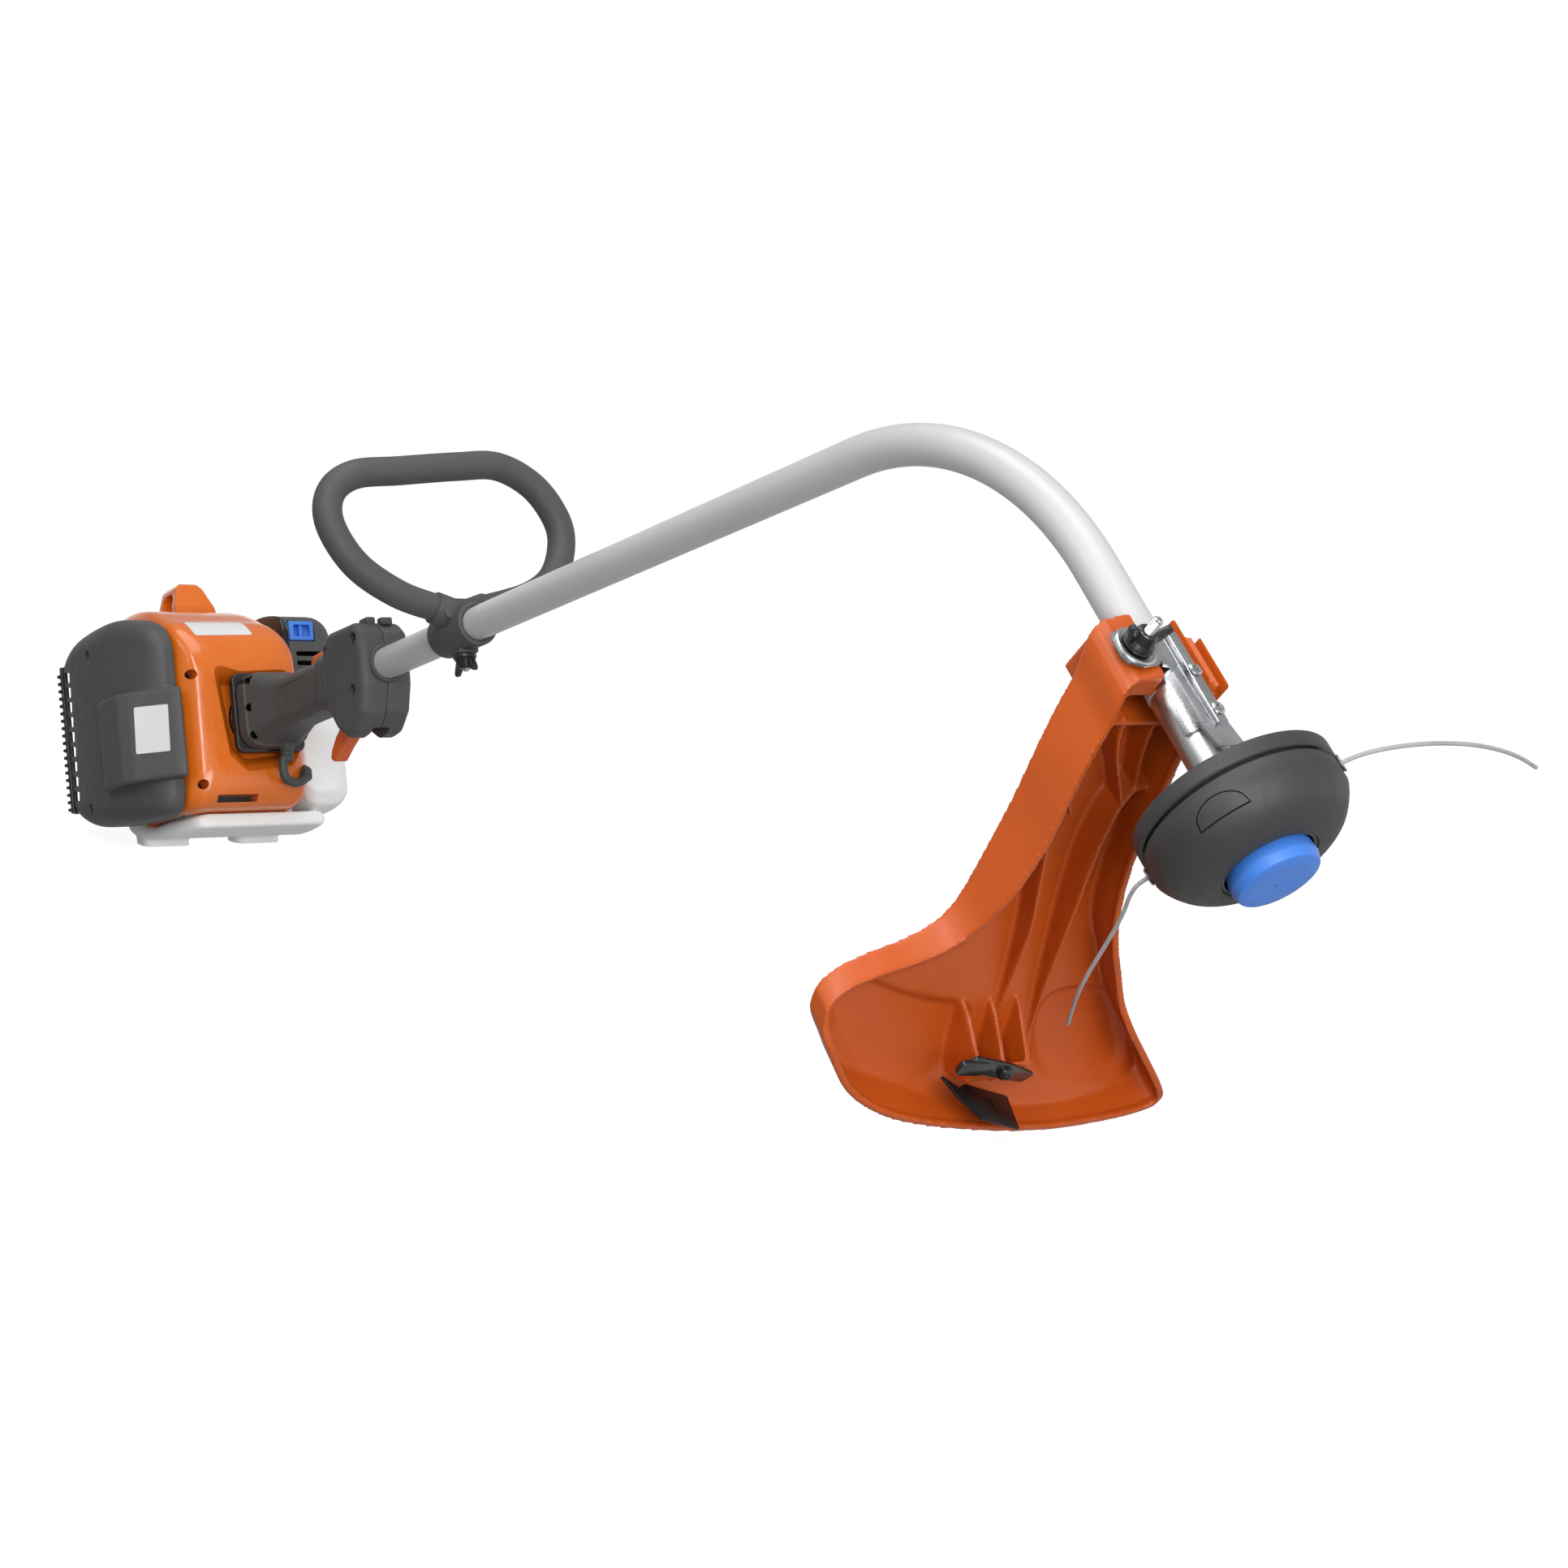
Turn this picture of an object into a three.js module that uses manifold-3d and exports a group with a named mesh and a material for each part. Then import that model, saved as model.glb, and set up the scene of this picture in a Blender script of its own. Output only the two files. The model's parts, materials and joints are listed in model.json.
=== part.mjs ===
// Petrol string trimmer with a curved shaft, in millimetres, +Z up.
// Two working frames are used. The shaft frame has +X along the straight shaft towards the
// cutting head, +Y to the operator's left and +Z square to the shaft. The head frame has +Z
// down the head's spin axis, +X rearwards over the guard and +Y to the operator's left.
import * as THREE from 'three';
import { mergeVertices } from 'three/addons/utils/BufferGeometryUtils.js';
import Module from 'manifold-3d';

const wasm = await Module();
wasm.setup();

// ---- Driving dimensions ----
const SHAFT_RISE = THREE.MathUtils.degToRad(18); // slope of the straight shaft at rest
const SHAFT_HEIGHT = 207;                        // shaft axis above the ground at the shaft datum
const TUBE_OD = 25.4;
const TUBE_WALL = 1.8;
const TUBE_START = -276;
const STRAIGHT = 560;
const BEND_RADIUS = 215;
const BEND = THREE.MathUtils.degToRad(62);
const TAIL = 124;                                // straight tail after the bend
const TUBE_TRIM = 36;                            // painted tube stops short of the tail's end
const FIT = 0.3;                                 // gap between touching pieces

const HEAD_RADIUS = 56;
const LINE_PLANE = 47;
const LINE_DIAMETER = 2.4;
const KNOB_RADIUS = 24.5;
const EYELET_ANGLE = THREE.MathUtils.degToRad(146);

const LOOP_STATION = 75;
const LOOP_TUBE = 22;
const PARTING_Y = -74;                           // cowl to muffler cover
const FILTER_Y = 39;                             // cowl to air-filter cover
const WALL = 2.6;
const STARTER_STATION = -424;
const HANDLE_REACH = 19;                         // half the pull handle's length
const HANDLE_SEAT = 114.3;                       // underside of the pull handle

// ---- Geometry helpers ----
const V = (x, y, z) => new THREE.Vector3(x, y, z);

function tidy(source) {
  let geometry = source.clone();
  geometry.deleteAttribute('normal');
  geometry.deleteAttribute('uv');
  geometry = mergeVertices(geometry, 1e-4);
  const index = geometry.index.array;
  const p = geometry.attributes.position;
  const kept = [];
  let volume = 0;
  for (let i = 0; i < index.length; i += 3) {
    const [a, b, c] = [index[i], index[i + 1], index[i + 2]];
    if (a === b || b === c || a === c) continue;
    kept.push(a, b, c);
    const u = V().fromBufferAttribute(p, a);
    const v = V().fromBufferAttribute(p, b);
    const w = V().fromBufferAttribute(p, c);
    volume += u.dot(v.cross(w));
  }
  if (volume < 0) {
    for (let i = 0; i < kept.length; i += 3) [kept[i + 1], kept[i + 2]] = [kept[i + 2], kept[i + 1]];
  }
  geometry.setIndex(kept);
  return geometry;
}

function solidOf(source) {
  const g = tidy(source);
  const vertProperties = Float32Array.from(g.attributes.position.array);
  const triVerts = Uint32Array.from(g.index.array);
  return new wasm.Manifold(new wasm.Mesh({ numProp: 3, vertProperties, triVerts }));
}

function geometryOf(solid) {
  const mesh = solid.getMesh();
  const g = new THREE.BufferGeometry();
  g.setAttribute('position', new THREE.BufferAttribute(Float32Array.from(mesh.vertProperties), 3));
  g.setIndex(Array.from(mesh.triVerts));
  return g;
}

const cut = (body, ...tools) =>
  geometryOf(tools.reduce((left, tool) => left.subtract(solidOf(tool)), solidOf(body)));
const join = (...pieces) =>
  geometryOf(pieces.slice(1).reduce((sum, piece) => sum.add(solidOf(piece)), solidOf(pieces[0])));
const common = (a, b) => geometryOf(solidOf(a).intersect(solidOf(b)));

// Skin over rings of equal point counts; loops back to the first ring or caps both ends.
function skin(rings, looped = false) {
  const n = rings[0].length;
  const points = rings.flat();
  const index = [];
  const spans = looped ? rings.length : rings.length - 1;
  for (let k = 0; k < spans; k += 1) {
    const a = k * n;
    const b = ((k + 1) % rings.length) * n;
    for (let i = 0; i < n; i += 1) {
      const j = (i + 1) % n;
      index.push(a + i, a + j, b + j, a + i, b + j, b + i);
    }
  }
  if (!looped) {
    for (const [start, flip] of [[0, true], [(rings.length - 1) * n, false]]) {
      for (let i = 1; i < n - 1; i += 1) {
        index.push(start, start + (flip ? i + 1 : i), start + (flip ? i : i + 1));
      }
    }
  }
  const g = new THREE.BufferGeometry().setFromPoints(points);
  g.setIndex(index);
  return tidy(g);
}

function box(x0, x1, y0, y1, z0, z1) {
  const g = new THREE.BoxGeometry(x1 - x0, y1 - y0, z1 - z0);
  return g.translate((x0 + x1) / 2, (y0 + y1) / 2, (z0 + z1) / 2);
}

function rod(from, to, radius, sides = 12, endRadius = radius) {
  const line = to.clone().sub(from);
  const g = new THREE.CylinderGeometry(endRadius, radius, line.length(), sides);
  g.applyQuaternion(new THREE.Quaternion().setFromUnitVectors(V(0, 1, 0), line.clone().normalize()));
  const middle = from.clone().add(to).multiplyScalar(0.5);
  return g.translate(middle.x, middle.y, middle.z);
}

// Turned solids: the profile is a list of [place along the axis, radius].
function lathe(profile, sides) {
  return new THREE.LatheGeometry(profile.map(([a, r]) => new THREE.Vector2(r, a)), sides);
}
const turnedX = (profile, sides = 24) => lathe(profile, sides).rotateZ(-Math.PI / 2);
const turnedZ = (profile, sides = 24) => lathe(profile, sides).rotateX(Math.PI / 2);
const tubeX = (x0, x1, inner, outer, sides = 20) =>
  turnedX([[x0, inner], [x0, outer], [x1, outer], [x1, inner], [x0, inner]], sides);
const tubeZ = (z0, z1, inner, outer, sides = 20) =>
  turnedZ([[z0, inner], [z0, outer], [z1, outer], [z1, inner], [z0, inner]], sides);

function extruded(points, depth) {
  const shape = new THREE.Shape(points.map(([a, b]) => new THREE.Vector2(a, b)));
  return new THREE.ExtrudeGeometry(shape, { depth, bevelEnabled: false });
}
// Side outline [x, z] through y0..y1; plan outline [x, y] through z0..z1; front outline [y, z].
const sideSlab = (points, y0, y1) =>
  extruded(points, y1 - y0).rotateX(Math.PI / 2).translate(0, y1, 0);
const planSlab = (points, z0, z1) => extruded(points, z1 - z0).translate(0, 0, z0);
const frontSlab = (points, x0, x1) =>
  extruded(points, x1 - x0)
    .applyMatrix4(new THREE.Matrix4().set(0, 0, 1, 0, 1, 0, 0, 0, 0, 1, 0, 0, 0, 0, 0, 1))
    .translate(x0, 0, 0);

function roundRect(y0, y1, z0, z1, radius, steps = 3) {
  const r = Math.min(radius, (y1 - y0) / 2 - 0.01, (z1 - z0) / 2 - 0.01);
  const centres = [[y1 - r, z1 - r], [y0 + r, z1 - r], [y0 + r, z0 + r], [y1 - r, z0 + r]];
  return centres.flatMap(([y, z], corner) =>
    Array.from({ length: steps + 1 }, (_, i) => {
      const a = (corner + i / steps) * (Math.PI / 2);
      return [y + r * Math.cos(a), z + r * Math.sin(a)];
    }));
}

// Loft along X through sections [x, y0, y1, z0, z1, corner radius], grown by `grow`.
function loftX(sections, grow = 0, steps = 3) {
  return skin(sections.map(([x, y0, y1, z0, z1, r]) =>
    roundRect(y0 - grow, y1 + grow, z0 - grow, z1 + grow, r + grow, steps).map(([y, z]) => V(x, y, z))));
}

// Round bar of `sides` faces swept along points; `across` is square to the path's plane.
function sweep(points, radius, across, sides = 8) {
  const rings = points.map((point, i) => {
    const before = points[Math.max(i - 1, 0)];
    const after = points[Math.min(i + 1, points.length - 1)];
    const along = after.clone().sub(before).normalize();
    const up = across.clone().cross(along).normalize();
    const side = along.clone().cross(up).normalize();
    return Array.from({ length: sides }, (_, k) => {
      const a = (k / sides) * Math.PI * 2;
      const outward = up.clone().multiplyScalar(Math.cos(a)).addScaledVector(side, Math.sin(a));
      return point.clone().addScaledVector(outward, radius);
    });
  });
  return rings;
}
const bar = (points, radius, across, sides) => skin(sweep(points, radius, across, sides));
const smooth = (points, steps) => new THREE.CatmullRomCurve3(points).getPoints(steps);

// ---- Scene graph ----
const trimmer = new THREE.Group();
const shaftFrame = new THREE.Group();
shaftFrame.rotation.y = -SHAFT_RISE;
shaftFrame.position.z = SHAFT_HEIGHT;
trimmer.add(shaftFrame);

const headFrame = new THREE.Group();
headFrame.position.set(
  STRAIGHT + BEND_RADIUS * Math.sin(BEND) + TAIL * Math.cos(BEND),
  0,
  -BEND_RADIUS * (1 - Math.cos(BEND)) - TAIL * Math.sin(BEND),
);
headFrame.rotation.y = Math.PI / 2 + BEND;
shaftFrame.add(headFrame);

const LOOKS = {
  painted: [0xd9dadb, 0.35, 0.1],
  zinc: [0xc9ccd0, 0.25, 0.9],
  steel: [0x8c8f94, 0.4, 0.8],
  blackSteel: [0x1d1e20, 0.45, 0.6],
  alloy: [0xa6a8ab, 0.45, 0.7],
  grey: [0x55565a, 0.6, 0],
  charcoal: [0x45474a, 0.7, 0],
  black: [0x17181a, 0.5, 0],
  guard: [0xd9581e, 0.45, 0],
  orange: [0xe8641c, 0.3, 0],
  blue: [0x3f78d8, 0.45, 0],
  nylon: [0xb4b7ba, 0.35, 0],
  tank: [0xe3e4e0, 0.4, 0],
  porcelain: [0xeceded, 0.4, 0],
  foam: [0x2b2c2e, 0.95, 0],
};

function add(frame, name, look, geometry) {
  const [color, roughness, metalness] = LOOKS[look];
  const material = new THREE.MeshStandardMaterial({ color, roughness, metalness });
  const mesh = new THREE.Mesh(tidy(geometry), material);
  mesh.name = name;
  frame.add(mesh);
  return mesh;
}

// ---- Shaft: tube, flexible drive cable ----
function shaftLine(start, end) {
  const bendEnd = STRAIGHT + BEND_RADIUS * BEND;
  const stations = [start, 0, STRAIGHT];
  for (let k = 1; k <= 10; k += 1) stations.push(STRAIGHT + (BEND_RADIUS * BEND * k) / 10);
  stations.push(end);
  return stations.map((s) => {
    const a = THREE.MathUtils.clamp((s - STRAIGHT) / BEND_RADIUS, 0, BEND);
    const before = Math.min(s, STRAIGHT);
    const after = Math.max(s - bendEnd, 0);
    return V(before + BEND_RADIUS * Math.sin(a) + after * Math.cos(BEND), 0,
      -BEND_RADIUS * (1 - Math.cos(a)) - after * Math.sin(BEND));
  });
}

function buildShaft() {
  const across = V(0, 1, 0);
  const tailEnd = STRAIGHT + BEND_RADIUS * BEND + TAIL;
  const line = shaftLine(TUBE_START, tailEnd - TUBE_TRIM);
  const outer = sweep(line, TUBE_OD / 2, across, 16);
  const inner = sweep(line, TUBE_OD / 2 - TUBE_WALL, across, 16);
  add(shaftFrame, 'drive_tube', 'painted', skin([...outer, ...inner.reverse()], true));
  const cable = shaftLine(-262, tailEnd - 84);
  add(shaftFrame, 'drive_cable', 'steel', bar(cable, 3.1, across, 8));
}

// ---- Cutting head ----
function buildHead() {
  const spigot = TUBE_OD / 2 - TUBE_WALL - FIT;
  add(headFrame, 'bearing_housing', 'alloy', turnedZ([
    [-76, 5], [-76, spigot], [-TUBE_TRIM + FIT, spigot], [-TUBE_TRIM + FIT, 12],
    [16, 12], [16, 13.4], [25, 13.4], [25, 5], [-76, 5]], 24));
  add(headFrame, 'drive_adapter', 'steel', turnedZ([
    [-82, 0], [-82, 4.4], [44, 4.4], [44, 5.6], [62, 5.6], [62, 0]], 12));

  add(headFrame, 'head_cover', 'charcoal', turnedZ([
    [26, 6.2], [26, 17], [29, 19], [31, 48], [32, HEAD_RADIUS - 1], [34, HEAD_RADIUS],
    [42.5, HEAD_RADIUS - 1], [42.5, HEAD_RADIUS - 3.2], [35, HEAD_RADIUS - 3.6],
    [34, 12], [38, 10], [38, 6.2], [26, 6.2]], 30));

  const bowl = turnedZ([
    [36, 48.6], [36, 51.8], [43.2, 51.8], [43.2, 55], [50, 55.4], [56, 53], [62, 50.5], [67, 47.5],
    [72, 42], [75.2, 33], [75.2, 27.4], [72.6, 26.6], [72.6, 33], [69.5, 39.6], [64, 44.6], [56, 48],
    [36, 48.6]], 30);
  const eyeletHoles = [0, Math.PI].map((turn) => {
    const direction = V(Math.cos(EYELET_ANGLE + turn), Math.sin(EYELET_ANGLE + turn), 0);
    return rod(direction.clone().multiplyScalar(44).setZ(LINE_PLANE),
      direction.clone().multiplyScalar(60).setZ(LINE_PLANE), 4.4, 10);
  });
  add(headFrame, 'head_housing', 'charcoal', cut(bowl, ...eyeletHoles));

  ['front', 'rear'].forEach((end, i) => {
    const eyelet = tubeX(47.6, 56.4, 2.1, 4.1, 10);
    add(headFrame, `line_eyelet_${end}`, 'steel',
      eyelet.rotateZ(EYELET_ANGLE + i * Math.PI).translate(0, 0, LINE_PLANE));
  });

  add(headFrame, 'line_spool', 'black', turnedZ([
    [43, 14], [43, 42], [45.4, 42], [45.4, 20], [65.6, 20], [65.6, 38], [68, 38], [68, 14], [43, 14]], 28));
  add(headFrame, 'wound_line', 'nylon', turnedZ([
    [45.8, 20.4], [45.8, 36], [65.2, 34.5], [65.2, 20.4], [45.8, 20.4]], 28));
  const [coilSteps, coilTurns] = [30, 3];
  const coil = Array.from({ length: coilSteps + 1 }, (_, i) => {
    const a = (i / coilSteps) * Math.PI * 2 * coilTurns;
    return V(8.4 * Math.cos(a), 8.4 * Math.sin(a), 46.5 + (i / coilSteps) * 13);
  });
  add(headFrame, 'bump_spring', 'steel', bar(coil, 0.8, V(0, 0, 1), 5));
  add(headFrame, 'bump_knob', 'blue', turnedZ([
    [68.4, 6.4], [68.4, 23.6], [82, KNOB_RADIUS], [85.2, 22.6], [86.4, 17], [86.4, 0], [70.6, 0],
    [70.6, 6.4], [68.4, 6.4]], 32));

  const exits = [
    [[-46.6, 31.4], [-52.5, 39], [-57.5, 53], [-60.8, 74], [-61.6, 98], [-59.6, 125], [-54.5, 152],
      [-47.5, 176], [-38.5, 199]],
    [[46.6, -31.4], [54, -34.4], [64, -32], [79, -25], [97, -18.5], [117, -12.5], [139, -6], [163, 3.4],
      [190.6, 17.6]],
  ];
  ['line_end_front', 'line_end_rear'].forEach((name, i) => {
    const route = smooth(exits[i].map(([x, y]) => V(x, y, LINE_PLANE)), 26);
    add(headFrame, name, 'nylon', bar(route, LINE_DIAMETER / 2, V(0, 0, 1), 8));
  });
}

// ---- Debris guard, its bracket and the line cutter ----
const DECK = [[-14, -79], [0, -73], [200, 11], [238, 29], [262, 46], [292, 80]];
const LEFT_EDGE = [[-14, -37], [0, -32], [20, -26], [48, -15], [86, 0], [119, 9], [146, 11], [175, 16],
  [196, 26], [213, 38], [236, 50], [250, 60], [261, 65], [276, 68.5], [292, 70]];
const RIGHT_EDGE = [[-14, -37], [0, -32], [50, -16], [103, -2], [135, 14], [157, 27], [172, 31], [190, 38],
  [204, 48], [224, 59], [243, 70], [292, 72]];
const PLAN = [[-10, -33], [20, -39], [48, -45], [86, -50], [119, -57], [142, -63], [156, -72], [166, -90],
  [173, -112], [180, -130], [190, -141], [202, -142], [216, -132], [236, -114], [249, -87], [259, -50],
  [265, -12], [268.5, 20], [270, 55], [268, 90], [264, 112], [257, 124], [248, 124], [236, 114], [220, 97],
  [204, 80], [190, 68], [172, 56], [155, 44], [134, 37], [103, 34], [50, 29], [-10, 22]];

function inset(outline, distance) {
  return outline.map(([x, y], i) => {
    const before = outline[(i + outline.length - 1) % outline.length];
    const after = outline[(i + 1) % outline.length];
    const along = new THREE.Vector2(after[0] - before[0], after[1] - before[1]).normalize();
    return [x - along.y * distance, y + along.x * distance];
  });
}

function edgeTrim(edge, y0, y1) {
  return sideSlab([...edge, [edge.at(-1)[0], 140], [edge[0][0], 140]], y0, y1);
}

const deckAt = (x) => -73 + 0.42 * x;

function buildGuard() {
  const under = [[292, 140], [-14, 140]];
  const outer = common(planSlab(PLAN, -100, 120), sideSlab([...DECK, ...under], -200, 200));
  const deckInside = DECK.map(([x, z]) => [x - 1.4, z + 3.2]);
  const inner = common(planSlab(inset(PLAN, 3), -100, 130), sideSlab([...deckInside, ...under], -200, 200));
  const shell = cut(outer, inner, edgeTrim(LEFT_EDGE, -200, 0), edgeTrim(RIGHT_EDGE, 0, 200));

  const ribs = [[-25, -3], [2, 30]].map(([yFront, yRear]) => {
    const wall = sideSlab([[30, deckAt(30) + 1], [30, deckAt(30) + 30], [70, deckAt(70) + 27],
      [228, deckAt(228) + 8], [228, deckAt(228) + 1]], -1.5, 1.5);
    const slope = Math.atan2(yRear - yFront, 198);
    return wall.rotateZ(slope).translate(0, yFront - 30 * Math.sin(slope), 0);
  });
  const saddle = box(-12, 26, -32, 21, -78, -36);
  const pocket = box(-13, 12, -30, -15.5, -90, -46);
  const tubeClear = rod(V(0, 0, -100), V(0, 0, 0), TUBE_OD / 2 + FIT, 24);
  const frontOpen = box(-20, -4, -15, 30, -100, 0);
  const hook = cut(box(-16, 12, 20.6, 31, -64, -28), box(-17, 8, 22.8, 28.6, -70, -24));
  const fins = [-28, -10, 8].map((y) => sideSlab([[208, deckAt(208) + 1], [222, 52], [236, 52],
    [240, deckAt(240) + 1]], y - 1.4, y + 1.4));
  const finCap = box(223, 235, -29, 9, 49, 52.2);
  const body = join(shell, ...ribs, cut(saddle, pocket), hook, ...fins, finCap);
  const deckBore = rod(V(0, 0, -100), V(0, 0, -20), TUBE_OD / 2 + FIT, 24);
  add(headFrame, 'debris_guard', 'guard', cut(body, tubeClear, deckBore, frontOpen, boltHole(3.4)));

  const blade = sideSlab([[0, 48], [14, 54], [24, 51], [68, 53.5], [62, 76], [24, 73], [10, 62]], -0.9, 0.9);
  add(headFrame, 'line_cutter', 'blackSteel', blade.rotateZ(1.2).translate(232, -50, 0));
  const clip = planSlab([[206, -42], [212, -46], [219, -34], [231, -6], [237, 12], [230, 16], [219, -8]],
    52.6, 54.6);
  add(headFrame, 'cutter_clip', 'black', join(clip, rod(V(223, -12, 54), V(223, -12, 58.5), 4.2, 8)));
}

const BOLT_Y = -27;
const BOLT_Z = -54;
const boltHole = (radius) => rod(V(-40, BOLT_Y, BOLT_Z), V(40, BOLT_Y, BOLT_Z), radius, 12);

function buildBracket() {
  const clearance = TUBE_OD / 2 + 0.25;
  const half = box(-30, -4.5, -30, 30, -80, 20);
  const band = common(tubeZ(-68, -4, clearance, clearance + 1.6, 28), half);
  const ear = planSlab([[-16.4, -40], [-14.6, -40], [-14.6, -13], [-13.2, -5], [-16.4, -3]], -67, -41);
  const flare = box(-15.4, -13.4, -11, 11, -6, 12);
  const ridge = box(-17.6, -13.2, 1, 9, -64, -6);
  const plate = join(band, ear, ridge, flare);
  add(headFrame, 'guard_bracket', 'zinc', cut(plate, boltHole(3.4)));
  [['upper', -38], ['lower', -12]].forEach(([name, z]) =>
    add(headFrame, `bracket_rivet_${name}`, 'zinc', rod(V(-19.6, 5, z), V(-17.9, 5, z), 3.2, 10)));
  const shank = rod(V(-38, BOLT_Y, BOLT_Z), V(10, BOLT_Y, BOLT_Z), 2.9, 10);
  add(headFrame, 'guard_bolt', 'zinc', shank);
  add(headFrame, 'guard_wing_nut', 'black', wingNut(V(-16.8, BOLT_Y, BOLT_Z), 'x'));
}

// Wing nut on an axis running towards -X or -Z from its seat.
function wingNut(seat, axis) {
  const hub = turnedZ([[0, 3.2], [0, 8.6], [5, 7.6], [10, 5.4], [10, 3.2], [0, 3.2]], 12);
  const wing = sideSlab([[5.6, 2.4], [7.6, 2], [12, 5], [14.8, 12], [12.4, 14.2], [5, 8]], -1.6, 1.6);
  const nut = join(hub, wing, wing.clone().rotateZ(Math.PI));
  if (axis === 'x') nut.rotateZ(Math.PI * 0.7).rotateY(-Math.PI / 2);
  else nut.rotateX(Math.PI);
  return nut.translate(seat.x, seat.y, seat.z);
}

// ---- Loop handle ----
function buildLoopHandle() {
  const outline = [[-21, 17], [-52, 27], [-84, 48], [-102, 78], [-99, 102], [-78, 117], [-40, 122], [10, 128],
    [46, 130], [76, 116], [94, 92], [97, 70], [86, 44], [62, 28], [21, 17]];
  const route = smooth(outline.map(([y, z]) => V(LOOP_STATION, y, z)), 34);
  add(shaftFrame, 'loop_handle', 'grey', bar(route, LOOP_TUBE / 2, V(1, 0, 0), 10));

  const [from, to] = [LOOP_STATION - 24, LOOP_STATION + 24];
  const bore = rod(V(from - 5, 0, 0), V(to + 5, 0, 0), TUBE_OD / 2 + FIT, 24);
  const stubs = [-1, 1].map((side) =>
    rod(V(LOOP_STATION, side * 8, 12), V(LOOP_STATION, side * 19.6, 16), LOOP_TUBE / 2, 12));
  const hole = rod(V(LOOP_STATION, 0, -30), V(LOOP_STATION, 0, 40), 3.2, 10);
  add(shaftFrame, 'handle_clamp', 'grey', cut(join(tubeX(from, to, 13.2, 16.6, 20), ...stubs), bore, hole));
  const shank = rod(V(LOOP_STATION, 0, -31), V(LOOP_STATION, 0, -13.2), 2.9, 8);
  add(shaftFrame, 'clamp_bolt', 'zinc', shank);
  add(shaftFrame, 'handle_wing_nut', 'black', wingNut(V(LOOP_STATION, 0, -17), 'z'));
}

// ---- Throttle housing, trigger, switches, grip ----
const TRIGGER_PIVOT = [-80, -32];
const pivotAt = (y) => V(TRIGGER_PIVOT[0], y, TRIGGER_PIVOT[1]);
const pivotRod = (reach, radius) => rod(pivotAt(-reach), pivotAt(reach), radius, 12);

function buildControls() {
  const side = [[-47, 10], [-50, 28], [-60, 36], [-102, 36], [-112, 27], [-116, 4], [-112, -25], [-100, -43],
    [-84, -54], [-70, -51], [-56, -36], [-49, -16]];
  const bore = rod(V(-130, 0, 0), V(-30, 0, 0), TUBE_OD / 2 + FIT, 24);
  const cavity = sideSlab([[-62, -20], [-66, -40], [-80, -48], [-94, -42], [-130, -54], [-130, -24],
    [-104, -19]], -7.5, 7.5);
  const switchSlot = box(-92, -66, -6.5, 6.5, 27, 50);
  const pinHole = pivotRod(20, 3.0);
  const screws = [[-57, 22], [-65, -18]];
  const recess = ([x, z], sign) => rod(V(x, sign * 18, z), V(x, sign * 30, z), 3.8, 10);
  [['right', -1], ['left', 1]].forEach(([name, sign]) => {
    const half = sign < 0 ? sideSlab(side, -23, -0.15) : sideSlab(side, 0.15, 23);
    add(shaftFrame, `throttle_housing_${name}`, 'grey',
      cut(half, bore, cavity, switchSlot, pinHole, ...screws.map((s) => recess(s, sign))));
  });
  ['upper', 'lower'].forEach((name, i) => {
    const [x, z] = screws[i];
    add(shaftFrame, `housing_screw_${name}`, 'blackSteel', rod(V(x, -21, z), V(x, -18.4, z), 3.2, 8));
  });

  const blade = sideSlab([[-74, -27], [-90, -26], [-104, -28], [-116, -35], [-132, -44], [-141, -52],
    [-144, -60], [-138, -62], [-126, -54], [-110, -46], [-92, -40], [-76, -38]], -6.6, 6.6);
  add(shaftFrame, 'throttle_trigger', 'orange', cut(blade, pinHole));
  add(shaftFrame, 'trigger_pin', 'steel', pivotRod(16, 2.7));
  const slider = join(box(-84, -74, -5.6, 5.6, 28, 37.4), box(-83, -75, -4, 4, 37, 41));
  add(shaftFrame, 'stop_switch', 'grey', slider);

  const sections = [[-117, -21, 21, -24, 24, 10], [-132, -21, 21, -24, 24, 10], [-136, -18, 18, -20, 21, 10],
    [-205, -19, 19, -21, 22, 11], [-226, -24, 24, -25, 30, 12], [-246, -28, 28, -29, 34, 13],
    [-262, -29, 29, -30, 35, 14]];
  const grip = loftX(sections);
  const gripBore = rod(V(-270, 0, 0), V(-110, 0, 0), TUBE_OD / 2 + FIT, 24);
  const leverSlot = box(-176, -100, -4.4, 4.4, 14.5, 60);
  const cableHole = rod(V(-252, 8, -40), V(-252, 8, -18), 4.4, 10);
  add(shaftFrame, 'rear_grip', 'grey', cut(grip, gripBore, leverSlot, cableHole));
  add(shaftFrame, 'throttle_lockout', 'orange', sideSlab([[-122, 16], [-122, 24], [-134, 26], [-148, 31],
    [-164, 30], [-169, 24], [-160, 20]], -4, 4));
}

// ---- Power head ----
const COWL = [[-277, -42, 28, -54, 48, 22], [-283, -62, 34, -82, 72, 20], [-300, PARTING_Y, 37, -86, 92, 24],
  [-330, PARTING_Y, FILTER_Y - 0.5, -86, 106, 28], [-365, PARTING_Y, FILTER_Y - 0.5, -84, 114, 30],
  [-398, PARTING_Y, FILTER_Y - 0.5, -80, 116, 30]];
const MUFFLER_COVER = [[-282, -86, PARTING_Y - 0.5, -68, 68, 6], [-298, -96, PARTING_Y - 0.5, -80, 84, 10],
  [-325, -108, PARTING_Y - 0.5, -80, 92, 16], [-350, -114, PARTING_Y - 0.5, -78, 94, 19],
  [-410, -115, PARTING_Y - 0.5, -72, 94, 20], [-450, -106, PARTING_Y - 0.5, -58, 84, 15]];
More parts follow.
